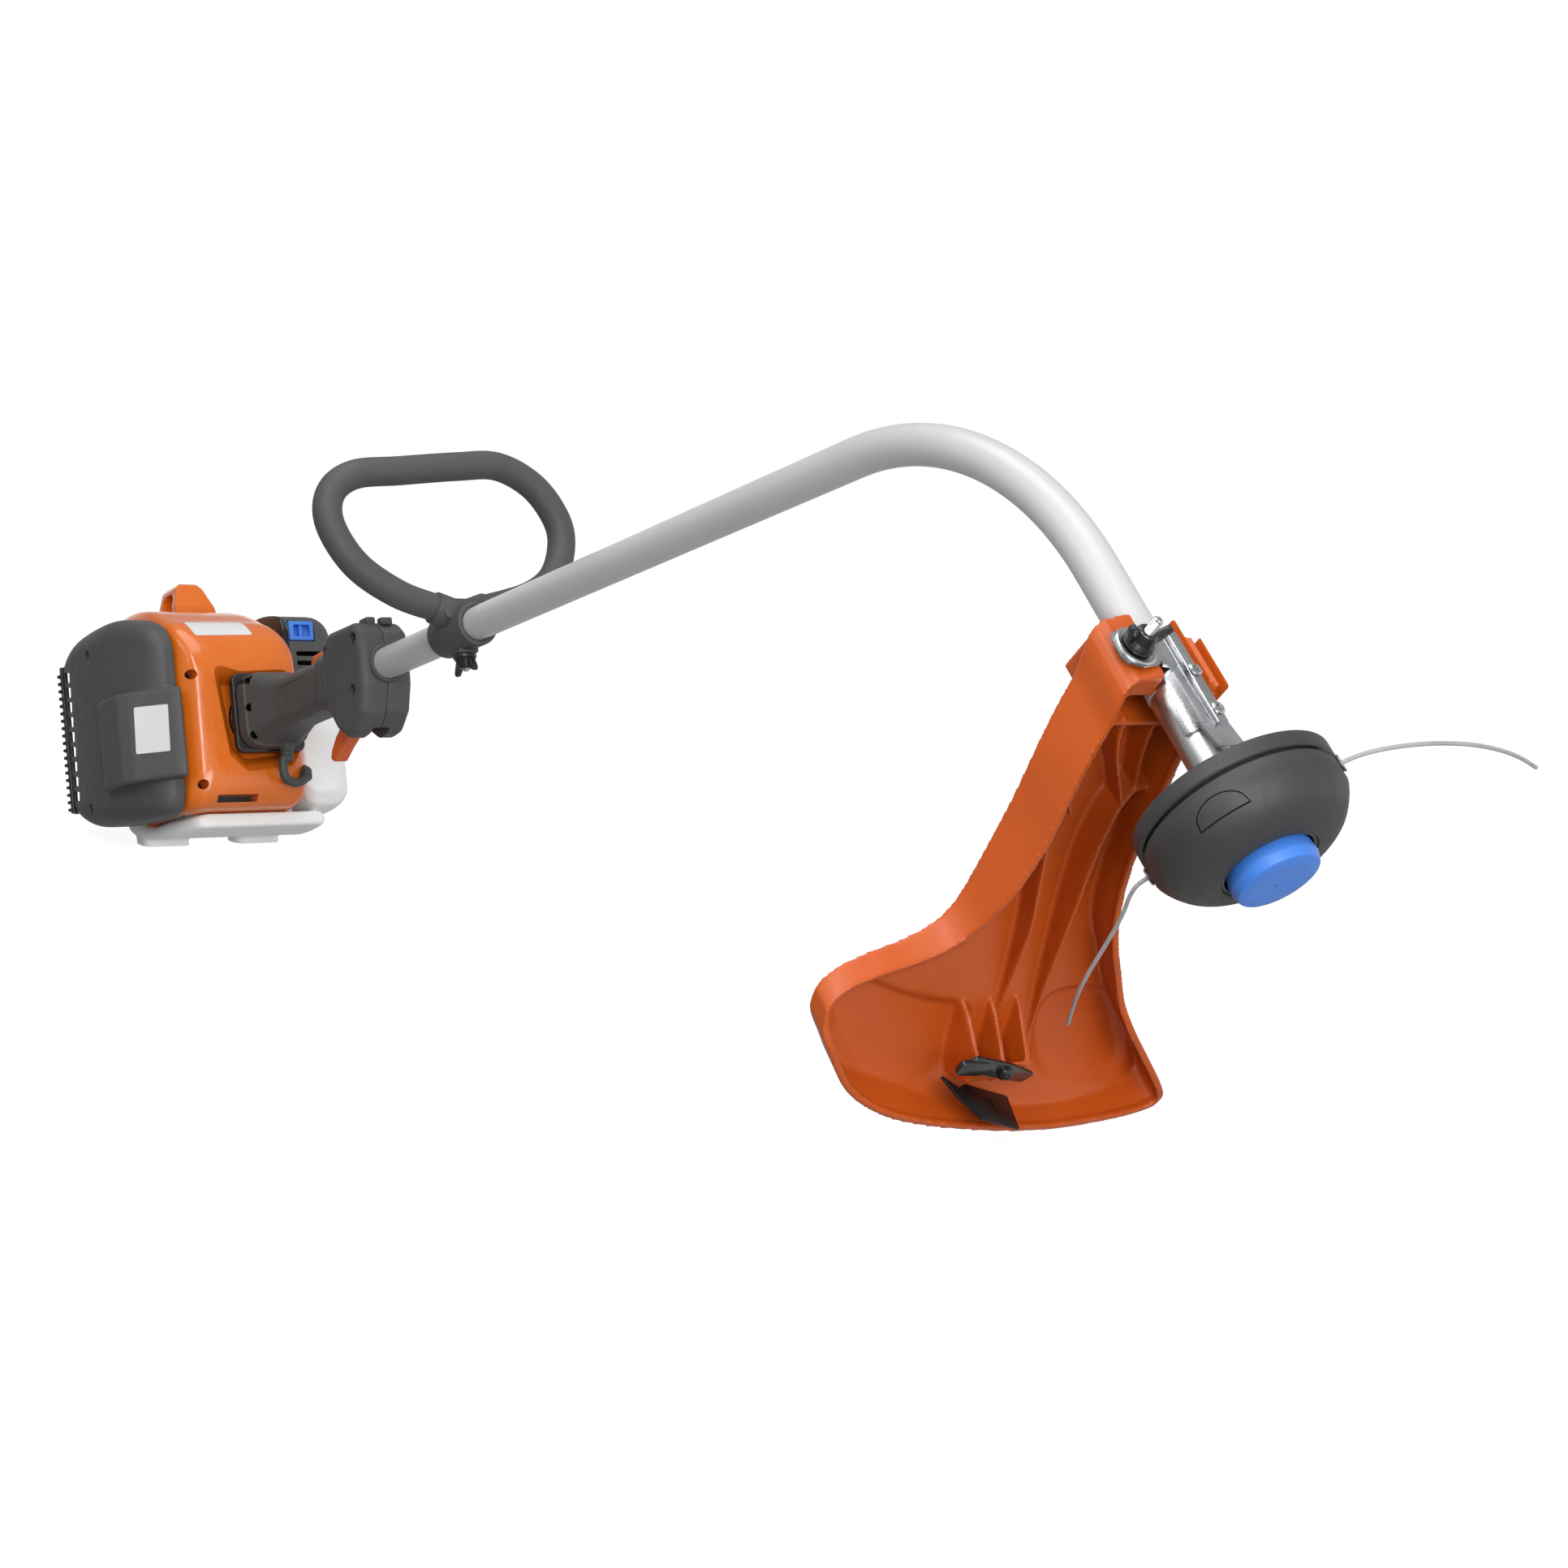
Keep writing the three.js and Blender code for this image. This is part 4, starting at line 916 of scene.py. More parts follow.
# ---------------------------------------------------------------- debris guard
@dataclass
class DebrisGuard:
    """The orange guard: a curved deck with skirts, ribs, pads, fins and the mount at its front."""

    wall: float = 3.0
    voxel: float = 1.15
    grid: float = 1.4
    pad_depth: float = 4.6
    left_limit: float = -141.9
    mark_radius: float = 5.5
    plan: tuple[Point2, ...] = (
        (-10, -33), (20, -39), (48, -45), (86, -50), (119, -57), (142, -63), (156, -72), (166, -90),
        (173, -112),
        (180, -130), (190, -141), (202, -142), (216, -132), (236, -114), (249, -87), (259, -50), (265, -12),
        (268.5, 20), (270, 55), (268, 90), (264, 112), (257, 124), (248, 124), (236, 114), (220, 97),
        (204, 80), (190, 68), (172, 56), (155, 44), (134, 37), (103, 34), (50, 29), (-10, 22))
    deck: tuple[Point2, ...] = ((-30, -85.7), (-14, -79), (0, -73), (60, -47.8), (130, -18.4), (190, 6.8),
                                (215, 17.5), (238, 29), (252, 38.5), (262, 47), (276, 61.5), (292, 80))
    left: tuple[Point2, ...] = (
        (-14, -37), (0, -32), (20, -26), (48, -15), (86, 0), (119, 9), (146, 11), (175, 16), (196, 26),
        (213, 38), (236, 50), (250, 60), (261, 65), (276, 68.5), (292, 70))
    right: tuple[Point2, ...] = (
        (-14, -37), (0, -32), (50, -16), (103, -2), (135, 14), (157, 27), (172, 31), (190, 38), (204, 48),
        (224, 59), (243, 70), (292, 72))
    left_pad: tuple[Point2, ...] = (
        (188, -118), (189, -104), (197, -82), (204, -56), (208, -36), (216, -24), (236, -24), (254, -40),
        (256, -66), (247, -90), (236, -104), (220, -119), (203, -128), (193, -127))
    right_pad: tuple[Point2, ...] = (
        (210, 33), (205, 50), (206, 72), (213, 86), (228, 98), (246, 110), (256, 106), (260, 84), (259, 58),
        (253, 44), (240, 34), (225, 29))
    rib_a: tuple[Point3, ...] = (
        (72, -47, -22), (79, -39, -19), (88, -34, -14), (104, -30, -7), (125, -24.5, 1), (150, -17, 9),
        (180, -11, 15.5), (206, -6.5, 20.5), (222, -4, 25))
    rib_b: tuple[Point3, ...] = (
        (66, 30, -24), (69, 20, -23), (78, 12.5, -18), (92, 8, -11), (110, 6, -3), (135, 8, 6),
        (165, 12.5, 14), (200, 19.5, 22), (230, 27, 30), (252, 35, 41))
    ejector_marks: tuple[Point2, ...] = (
        (202, -107), (217, -53), (127, -37), (174, -30), (168, 46), (194, 32), (224, 84), (90, 27))

    def deck_at(self, x: np.ndarray) -> np.ndarray:
        """The top skin's height at a distance behind the spin axis."""
        line = np.array(flowing(self.deck, 6))
        return np.interp(x, line[:, 0], line[:, 1])

    def edge_at(self, x: float, y: float) -> float:
        """Where the skirt ends below, left of the middle, right of it or blended across the back."""
        half = 14 + 50 * min(max((x - 195) / 60, 0), 1)
        w = min(max((y + half) / (2 * half), 0), 1)
        w = w * w * (3 - 2 * w)
        lines = [np.array(flowing(edge, 6)) for edge in (self.left, self.right)]
        a, b = (float(np.interp(x, line[:, 0], line[:, 1])) for line in lines)
        return a * (1 - w) + b * w

    @staticmethod
    def inside(x: np.ndarray, y: np.ndarray, outline: Sequence[Point2]) -> np.ndarray:
        """How far each place is inside an outline, negative outside it."""
        p = np.array(outline, float)
        q = np.roll(p, -1, 0)
        far = np.full(x.shape, 1e9)
        within = np.zeros(x.shape, bool)
        for (ax, ay), (bx, by) in zip(p, q):
            dx, dy = bx - ax, by - ay
            t = np.clip(((x - ax) * dx + (y - ay) * dy) / (dx * dx + dy * dy + 1e-9), 0, 1)
            far = np.minimum(far, np.hypot(x - ax - t * dx, y - ay - t * dy))
            crosses = (ay > y) != (by > y)
            within ^= crosses & (x < ax + (y - ay) / (dy if abs(dy) > 1e-9 else 1e-9) * dx)
        return np.where(within, far, -far)

    def skin_at(self, x: np.ndarray, y: np.ndarray, under: bool) -> np.ndarray:
        """The deck's height on its top or under it, with its two pads and its ejector marks."""
        z = self.deck_at(x)
        for pad in (self.left_pad, self.right_pad):
            d = self.inside(x, y, flowing(pad, 4, True))
            step = np.clip((d + 3.5) / 9, 0, 1)
            fade = np.clip((z + 3) / 9, 0, 1) * np.clip((66 - z) / 14, 0, 1)
            z = z - self.pad_depth * step * step * (3 - 2 * step) * fade
        if under:
            z = z + self.wall * 1.08
            for mx, my in self.ejector_marks:
                ring = np.abs(np.hypot(x - mx, y - my) - self.mark_radius)
                z = z + 0.35 * np.clip(1 - ring / 1.1, 0, 1)
        return z

    def deck_plate(self) -> Shape:
        """The deck as a closed plate, trimmed to the plan."""
        xs, ys = np.arange(-12, 273, self.grid), np.arange(-144, 127, self.grid)
        gx, gy = np.meshgrid(xs, ys, indexing="ij")
        rows, cols = gx.shape
        mask = self.inside(gx, gy, inset(flowing(self.plan, 4, True), 0.5)) > 0
        index = -np.ones(gx.shape, int)
        index[mask] = np.arange(mask.sum())
        count = int(mask.sum())
        top, low = self.skin_at(gx, gy, False), self.skin_at(gx, gy, True)
        points = [(x, y, z) for x, y, z in zip(gx[mask], gy[mask], top[mask])]
        points += [(x, y, z) for x, y, z in zip(gx[mask], gy[mask], low[mask])]
        faces, edges = [], {}
        for i in range(rows - 1):
            for j in range(cols - 1):
                q = (index[i, j], index[i + 1, j], index[i + 1, j + 1], index[i, j + 1])
                if min(q) < 0:
                    continue
                faces.append(q)
                faces.append(tuple(count + v for v in reversed(q)))
                for a, b in zip(q, q[1:] + q[:1]):
                    key = (min(a, b), max(a, b))
                    edges[key] = None if key in edges else (a, b)
        faces += [(b, a, a + count, b + count) for pair in edges.values() if pair for a, b in [pair]]
        return Bench.lay("deck", points, faces)

    def skirt(self) -> Shape:
        """The wall round the plan, from the deck down to its edge, with a bead along the edge."""
        outline = flowing(self.plan, 7, True)
        inner, bead = inset(outline, self.wall), inset(outline, self.wall + 1.3)
        rings = []
        for (ox, oy), (ix, iy), (bx, by) in zip(outline, inner, bead):
            top, low = float(self.deck_at(np.array(ox))), self.edge_at(ox, oy)
            low = max(low, top + 5)
            under = min(float(self.skin_at(np.array([ix]), np.array([iy]), False)[0]), top) + 0.8
            rings.append([(ox, oy, top), (ox, oy, low), (bx, by, low), (bx, by, low - 3.0),
                          (ix, iy, low - 4.2), (ix, iy, min(under, low - 4.3))])
        return Bench.loft("skirt", rings, True)

    def rib(self, name: str, route: Sequence[Point3], thick: float = 2.6) -> Shape:
        """A wall that stands on the deck along a route of (x, y, height of its free edge)."""
        line = flowing(route, 6)
        rings = []
        for i, (x, y, top) in enumerate(line):
            a, b = np.array(line[max(i - 1, 0)][:2]), np.array(line[min(i + 1, len(line) - 1)][:2])
            side = np.array([-(b - a)[1], (b - a)[0]]) / max(np.linalg.norm(b - a), 1e-6) * thick / 2
            foot = float(self.deck_at(np.array(x))) + 1.2
            top = max(top, foot + 0.6)
            rings.append([(x - side[0], y - side[1], foot), (x + side[0], y + side[1], foot),
                          (x + side[0] * 0.85, y + side[1] * 0.85, top),
                          (x - side[0] * 0.85, y - side[1] * 0.85, top)])
        return Bench.loft(name, rings)

    def mount(self) -> list[Shape]:
        """The saddle on the tube, its pocket walls, the strap channel and the walls behind it."""
        saddle = Bench.block("saddle", (-12, -32, -78), (27, 21, -36))
        saddle = Bench.carve(saddle, Bench.block("pocket", (-13.5, -29.6, -92), (11, -15.6, -46)),
                             Bench.block("under", (2, -29, -58), (24, 18.6, -30)))
        channel = Bench.slab("channel", round_rect(-15, 13, 19.6, 31, 4.5), -64, -30, Along.Z)
        mouth = Bench.slab("mouth", round_rect(-20, 10.4, 22.2, 28.4, 3), -70, -24, Along.Z)
        Bench.carve(channel, mouth)
        walls = [self.rib("wall_left", [(22, -14, -38), (38, -10, -33), (52, -3, -28), (64, 6, -25),
                                        (76, 13, -19)]),
                 self.rib("wall_right", [(24, 10, -38), (40, 13, -34), (55, 17, -30), (68, 21, -25)]),
                 self.rib("wall_cross", [(50, -44, -16), (58, -36, -18), (70, -30, -19), (80, -24, -16)],
                          2.2)]
        return [saddle, channel, *walls]

    def fins(self) -> list[Shape]:
        """The three fins and the cap that carry the cutter."""
        made = []
        for k, (y, lean) in enumerate(((-29, -5), (-11, -2), (7, 0))):
            fin = rounded([(203, 12), (208, 26), (222, 53), (237, 53), (246, 38), (240, 26)], 3, 3)
            shape = Bench.slab(f"fin_{k}", fin, y - 1.3, y + 1.3, Along.Y)
            for vertex in shape.data.vertices:
                vertex.co.y += lean * max(0.0, (40 - vertex.co.z) / 25)
            made.append(shape)
        cap = [(221, -31), (236, -31), (236, 10), (221, 10)]
        made.append(Bench.slab("fin_cap", cap, 49.5, 52.3, Along.Z))
        return made

    def build(self) -> None:
        """Builds the guard as one moulding and opens its holes."""
        pieces = [self.deck_plate(), self.skirt(), self.rib("rib_a", self.rib_a),
                  self.rib("rib_b", self.rib_b), *self.mount(), *self.fins()]
        guard = Bench.mould(Bench.fuse("guard", *pieces), self.voxel, 5, 0.62)
        for vertex in guard.data.vertices:
            vertex.co.y = max(vertex.co.y, self.left_limit)
        bore = Bench.rod("bore", (0, 0, -110), (0, 0, 0), 13.0, 64)
        mouth = Bench.block("mouth", (-24, -15, -110), (-4, 19.4, 0))
        bolt = Bench.rod("bolt", (-40, -27, -54), (40, -27, -54), 3.4, 24)
        Bench.carve(guard, bore, mouth, bolt)
        stand_in(guard, HEAD, "guard_plastic", "debris_guard", degrees=40)


@dataclass
class LineCutter:
    """The black blade and the clip and screw that hold it."""

    thick: float = 1.6

    def blade(self) -> None:
        """The pointed blade, stood on edge."""
        outline = rounded([(0, 47), (15, 54), (24, 50.5), (69, 53), (64, 76), (25, 73.5), (9, 61)], 1.2, 3)
        shape = Bench.slab("cutter_blade", outline, -self.thick / 2, self.thick / 2, Along.Y, 0.35, 2)
        mark = Bench.slab("mark", rounded([(34, 58), (44, 58), (46, 66), (42, 66), (41, 61), (34, 61)], 1,
                                          2), 0.45, 3, Along.Y)
        Bench.carve(shape, mark)
        Bench.place(shape, at(232, -50, 0) @ about("Z", 1.2))
        stand_in(shape, HEAD, "black_steel", "line_cutter")

    def clip(self) -> None:
        """The clip under the fins, with its cross-recess screw."""
        outline = rounded([(205, -43), (212, -48), (221, -36), (232, -8), (239, 12), (231, 17), (218, -8)],
                          2.5, 4)
        shape = Bench.slab("clip", outline, 52.4, 54.9, Along.Z, 0.6, 2)
        Bench.join(shape, Bench.slab("tab", rounded([(206, -54), (219, -52), (223, -30), (212, -28)], 5, 5),
                                     52.8, 56.4, Along.Z, 0.8, 2))
        head = Bench.turned("screw", rounded([(54.2, 0), (54.2, 4.6), (57.2, 4.6), (59.2, 2.8), (59.4, 0)],
                                             0.6, 3), steps=40)
        Bench.carve(head, Bench.block("cross", (-3, -0.6, 57.6), (3, 0.6, 62)),
                    Bench.block("cross", (-0.6, -3, 57.6), (0.6, 3, 62)))
        Bench.place(head, at(223, -12, 0))
        stand_in(Bench.fuse("cutter_clamp", shape, head), HEAD, "black_plastic", "cutter_clip")

    def build(self) -> None:
        """Builds blade and clip."""
        self.blade()
        self.clip()


class Wings:
    """A black wing nut, drawn once and copied, and the threaded bolt end it sits on."""

    pitch = 0.8
    thread_radius = 2.5
    thread_depth = 0.42

    @staticmethod
    def make(name: str) -> Shape:
        """The nut with its seat at the origin and its axis up Z."""
        hub = Bench.turned(name, rounded([(0, 3.2), (0, 9), (2.4, 9), (5, 7.4), (10, 5.8), (11, 5.0),
                                          (11, 3.2)], 0.8, 3), steps=48)
        outline = rounded([(4.6, 2.2), (7.8, 1.8), (11.8, 4.8), (15.0, 12.2), (14.0, 14.8), (11.8, 14.4),
                           (5, 8.6)], 1.4, 4)
        for turn in HALF_TURNS:
            wing = Bench.slab("wing", outline, -1.9, 1.9, Along.Y, 0.6, 2)
            Bench.place(wing, about("Z", turn))
            Bench.join(hub, wing)
        return hub

    @staticmethod
    def tip(name: str, length: float) -> Shape:
        """A threaded bolt end up Z from the origin."""
        turns, r = int(length / Wings.pitch), Wings.thread_radius
        profile = [(0, 0.0), (0, r)]
        for k in range(turns):
            profile += [(Wings.pitch * k + 0.2, r), (Wings.pitch * k + 0.5, r + Wings.thread_depth)]
        profile += [(length - 0.2, r), (length + 0.6, r - 0.8), (length + 0.6, 0.0)]
        return Bench.turned(name, profile, steps=32)


@dataclass
class GuardBracket:
    """The plated bracket on the tube, its two rivets, bolt and wing nut."""

    bolt_y: float = -27.0
    bolt_z: float = -54.0

    def plate(self) -> None:
        """The pressed plate with its band, ear, ridge and flared foot."""
        outer, inner = 14.5, 12.96
        profile = rounded([(-68, inner), (-68, outer), (-4, outer), (-4, inner)], 0.35, 2)
        band = Bench.turned("bracket", profile, steps=96)
        Bench.trim(band, Bench.block("half", (-30, -30, -80), (-4.5, 30, 20)))
        ear_outline = rounded([(-40, -63.5), (-40, -44.5), (-29, -40.8), (-13, -42.5), (-13, -66),
                               (-29, -67.2)], 7, 6)
        ear = Bench.slab("ear", ear_outline, -16.3, -14.7, Along.X, 0.4, 2)
        web = Bench.slab("web", [(-16.3, -13.6), (-14.7, -13.6), (-13.0, -5), (-14.2, -3), (-16.3, -3)],
                         -66, -42.5, Along.Z)
        ridge_corners = [(-13.0, -0.4), (-17.4, 1.4), (-17.8, 5), (-17.4, 8.6), (-13.0, 10.4)]
        ridge_profile = rounded(ridge_corners, 1.6, 4)
        ridge = Bench.slab("ridge", ridge_profile, -64, -4, Along.Z, 0.5, 2)
        foot = [(-13.2, -11), (-14.8, -11), (-14.8, 11), (-13.2, 11)]
        flare = Bench.loft("flare", [[(x * (1 + 0.05 * k), y * (1 - 0.02 * k), -6 + 4.5 * k)
                                      for x, y in foot]
                                     for k in range(5)])
        Bench.join(band, ear, web, ridge, flare)
        Bench.carve(band, Bench.rod("hole", (-40, self.bolt_y, self.bolt_z), (0, self.bolt_y, self.bolt_z),
                                    3.3, 24))
        stand_in(band, HEAD, "zinc_plate", "guard_bracket", degrees=30)

    def on_bolt(self, x: float) -> Matrix:
        """Stands a turned piece on the bolt's line, facing away from the tube."""
        return at(x, self.bolt_y, self.bolt_z) @ about("Y", -math.pi / 2)

    def washer(self) -> None:
        """The round raised washer under the wing nut."""
        profile = rounded([(0, 3.4), (0, 12.4), (1.0, 12.8), (1.8, 11.6), (1.4, 10.2), (1.4, 3.4)], 0.3, 3)
        shape = Bench.turned("washer", profile, steps=64)
        Bench.place(shape, self.on_bolt(-16.3))
        added(shape, HEAD, "zinc_plate", "guard_bracket")

    def fasteners(self) -> None:
        """Hollow rivets, bolt and wing nut."""
        for name, z in (("upper", -38), ("lower", -12)):
            profile = rounded([(0, 1.5), (0, 4.2), (0.9, 4.2), (1.7, 2.9), (1.7, 1.5)], 0.4, 3)
            shape = Bench.turned(f"rivet_{name}", profile, steps=40)
            Bench.place(shape, at(-17.9, 5, z) @ about("Y", -math.pi / 2))
            stand_in(shape, HEAD, "zinc_plate", f"bracket_rivet_{name}")
        tip = Wings.tip("guard_stud", 14.5)
        Bench.place(tip, self.on_bolt(-23.6))
        shank = Bench.rod("shank", (-24, self.bolt_y, self.bolt_z), (10, self.bolt_y, self.bolt_z), 2.9, 24)
        stand_in(Bench.fuse("guard_screw", tip, shank), HEAD, "zinc_plate", "guard_bolt")
        nut = Wings.make("guard_wings")
        Bench.place(nut, self.on_bolt(-18.3)
                    @ about("Z", math.pi * 0.5))
        stand_in(nut, HEAD, "black_plastic", "guard_wing_nut")

    def build(self) -> None:
        """Builds the bracket and its fasteners."""
        self.plate()
        self.washer()
        self.fasteners()


# ---------------------------------------------------------------- shaft and loop handle
@dataclass
class Shaft:
    """The bent painted tube and the bare bearing housing in its lower end."""

    radius: float = TUBE_RADIUS
    bore: float = 10.9
    start: float = -276.0
    straight: float = 560.0
    bend_radius: float = 215.0
    bend: float = math.radians(62)
    tail: float = 88.0

    def line(self) -> list[Point3]:
        """Close places along the tube's middle."""
        places = [(s, 0.0, 0.0) for s in np.linspace(self.start, self.straight, 40)]
        for a in np.linspace(0, self.bend, 60)[1:]:
            places.append((self.straight + self.bend_radius * math.sin(a), 0.0,
                           -self.bend_radius * (1 - math.cos(a))))
        x, _, z = places[-1]
        for d in np.linspace(0, self.tail, 8)[1:]:
            places.append((x + d * math.cos(self.bend), 0.0, z - d * math.sin(self.bend)))
        return places

    def build(self) -> None:
        """Builds the tube and the housing."""
        rings = []
        line = [np.array(p) for p in self.line()]
        for i, place in enumerate(line):
            along = line[min(i + 1, len(line) - 1)] - line[max(i - 1, 0)]
            along = along / np.linalg.norm(along)
            up = np.array([-along[2], 0, along[0]])
            rings.append((place, up))
        wrap = np.linspace(0, 2 * math.pi, 64, endpoint=False)
        side = np.array([0, 1, 0])

        def skin(r: float) -> list[list[Point3]]:
            """The rings of one wall."""
            return [[tuple(p + r * (up * math.cos(a) + side * math.sin(a))) for a in wrap]
                    for p, up in rings]

        tube = Bench.loft("tube", [*skin(self.radius), *reversed(skin(self.bore))], True)
        stand_in(tube, SHAFT, "painted_tube", "drive_tube")
        lip = 12.2
        profile = [(-76, 5), (-76, 10.5), (-35.6, 10.5), (-35.6, lip), (14.4, lip), (14.8, 12.9)]
        for k in range(9):
            profile += [(15.2 + k, 13.4), (15.7 + k, 13.05)]
        profile += [(24.6, 13.4), (25, 13.0), (25, 5)]
        housing = Bench.turned("nose", profile, steps=96)
        stand_in(housing, HEAD, "bare_alloy", "bearing_housing")


@dataclass
class LoopHandle:
    """The rubber-covered loop, its clamp, bolt and wing nut."""

    station: float = 75.0
    radius: float = 11.0
    outline: tuple[Point2, ...] = ((-21, 17), (-52, 27), (-84, 48), (-102, 78), (-99, 102), (-78, 117),
                                   (-40, 122), (10, 128), (46, 130), (76, 116), (94, 92), (97, 70), (86, 44),
                                   (62, 28), (21, 17))

    def loop(self) -> None:
        """The loop, full thickness over the top and a little thinner where it enters the clamp."""
        line = flowing(self.outline, 8)
        rings = []
        wrap = np.linspace(0, 2 * math.pi, 40, endpoint=False)
        for i, (y, z) in enumerate(line):
            a, b = np.array(line[max(i - 1, 0)]), np.array(line[min(i + 1, len(line) - 1)])
            along = (b - a) / np.linalg.norm(b - a)
            r = self.radius - 0.5 * max(0.0, 1 - min(i, len(line) - 1 - i) / 12)
            out = np.array([along[1], -along[0]])
            rings.append([(self.station + r * math.sin(t), y + r * math.cos(t) * out[0],
                           z + r * math.cos(t) * out[1]) for t in wrap])
        shape = Bench.loft("loop", rings)
        Bench.round_edges(shape, 1.2, 3, 60)
        stand_in(shape, SHAFT, "grip_rubber", "loop_handle")

    def clamp(self) -> None:
        """The split body round the tube with its two sockets and the sunk nut on top."""
        s = self.station
        front, back, half, wall = s + 25, s - 25, 40, 16.8
        sleeve = rounded([(back, TUBE_BORE), (back, wall), (front, wall), (front, TUBE_BORE)], 1.4, 4)
        body = Bench.turned("saddle_clamp", sleeve, Along.X, 80)
        tapers = ((-13, 0.82), (-12, 0.94), (-9, 1), (9, 1), (12, 0.94), (13, 0.82))
        crown = Bench.loft("crown", [[(s + x, y * k, z) for y, z in round_rect(-21, 21, 6, 21.5, 6)]
                                     for x, k in tapers])
        sockets = [Bench.rod("socket", (s, side * 6, 11.5), (s, side * 23, 17.2), 12.4, 48, bevel=0.9)
                   for side in (-1, 1)]
        Bench.join(body, crown, *sockets)
        Bench.carve(body, Bench.rod("bore", (s - half, 0, 0), (s + half, 0, 0), TUBE_BORE, 80),
                    Bench.rod("sunk", (s, 0, 17), (s, 0, 40), 5.4, 6),
                    Bench.block("slit", (s - half, 10, -1.2), (s + half, 30, 0.6)))
        Bench.join(body, Bench.block("seat", (s - 8, -8, -18.5), (s + 8, 8, -13.4), 0.8))
        Bench.carve(body, Bench.rod("bore", (s - half, 0, 0), (s + half, 0, 0), TUBE_BORE, 80))
        stand_in(body, SHAFT, "grey_plastic", "handle_clamp", degrees=30)

    def fasteners(self) -> None:
        """The bolt, the wing nut under the tube and the nut sunk in the top."""
        s = self.station
        tip = Wings.tip("clamp_stud", 13)
        Bench.place(tip, at(s, 0, -18) @ about("X", math.pi))
        stand_in(tip, SHAFT, "zinc_plate", "clamp_bolt")
        nut = Wings.make("loop_wings")
        Bench.place(nut, at(s, 0, -18.7) @ about("X", math.pi))
        stand_in(nut, SHAFT, "black_plastic", "handle_wing_nut")
        sunk = Bench.rod("sunk_nut", (s, 0, 16.6), (s, 0, 19.6), 5.0, 6, bevel=0.5)
        added(sunk, SHAFT, "black_steel", "handle_clamp")

    def build(self) -> None:
        """Builds the loop and its clamp."""
        self.loop()
        self.clamp()
        self.fasteners()


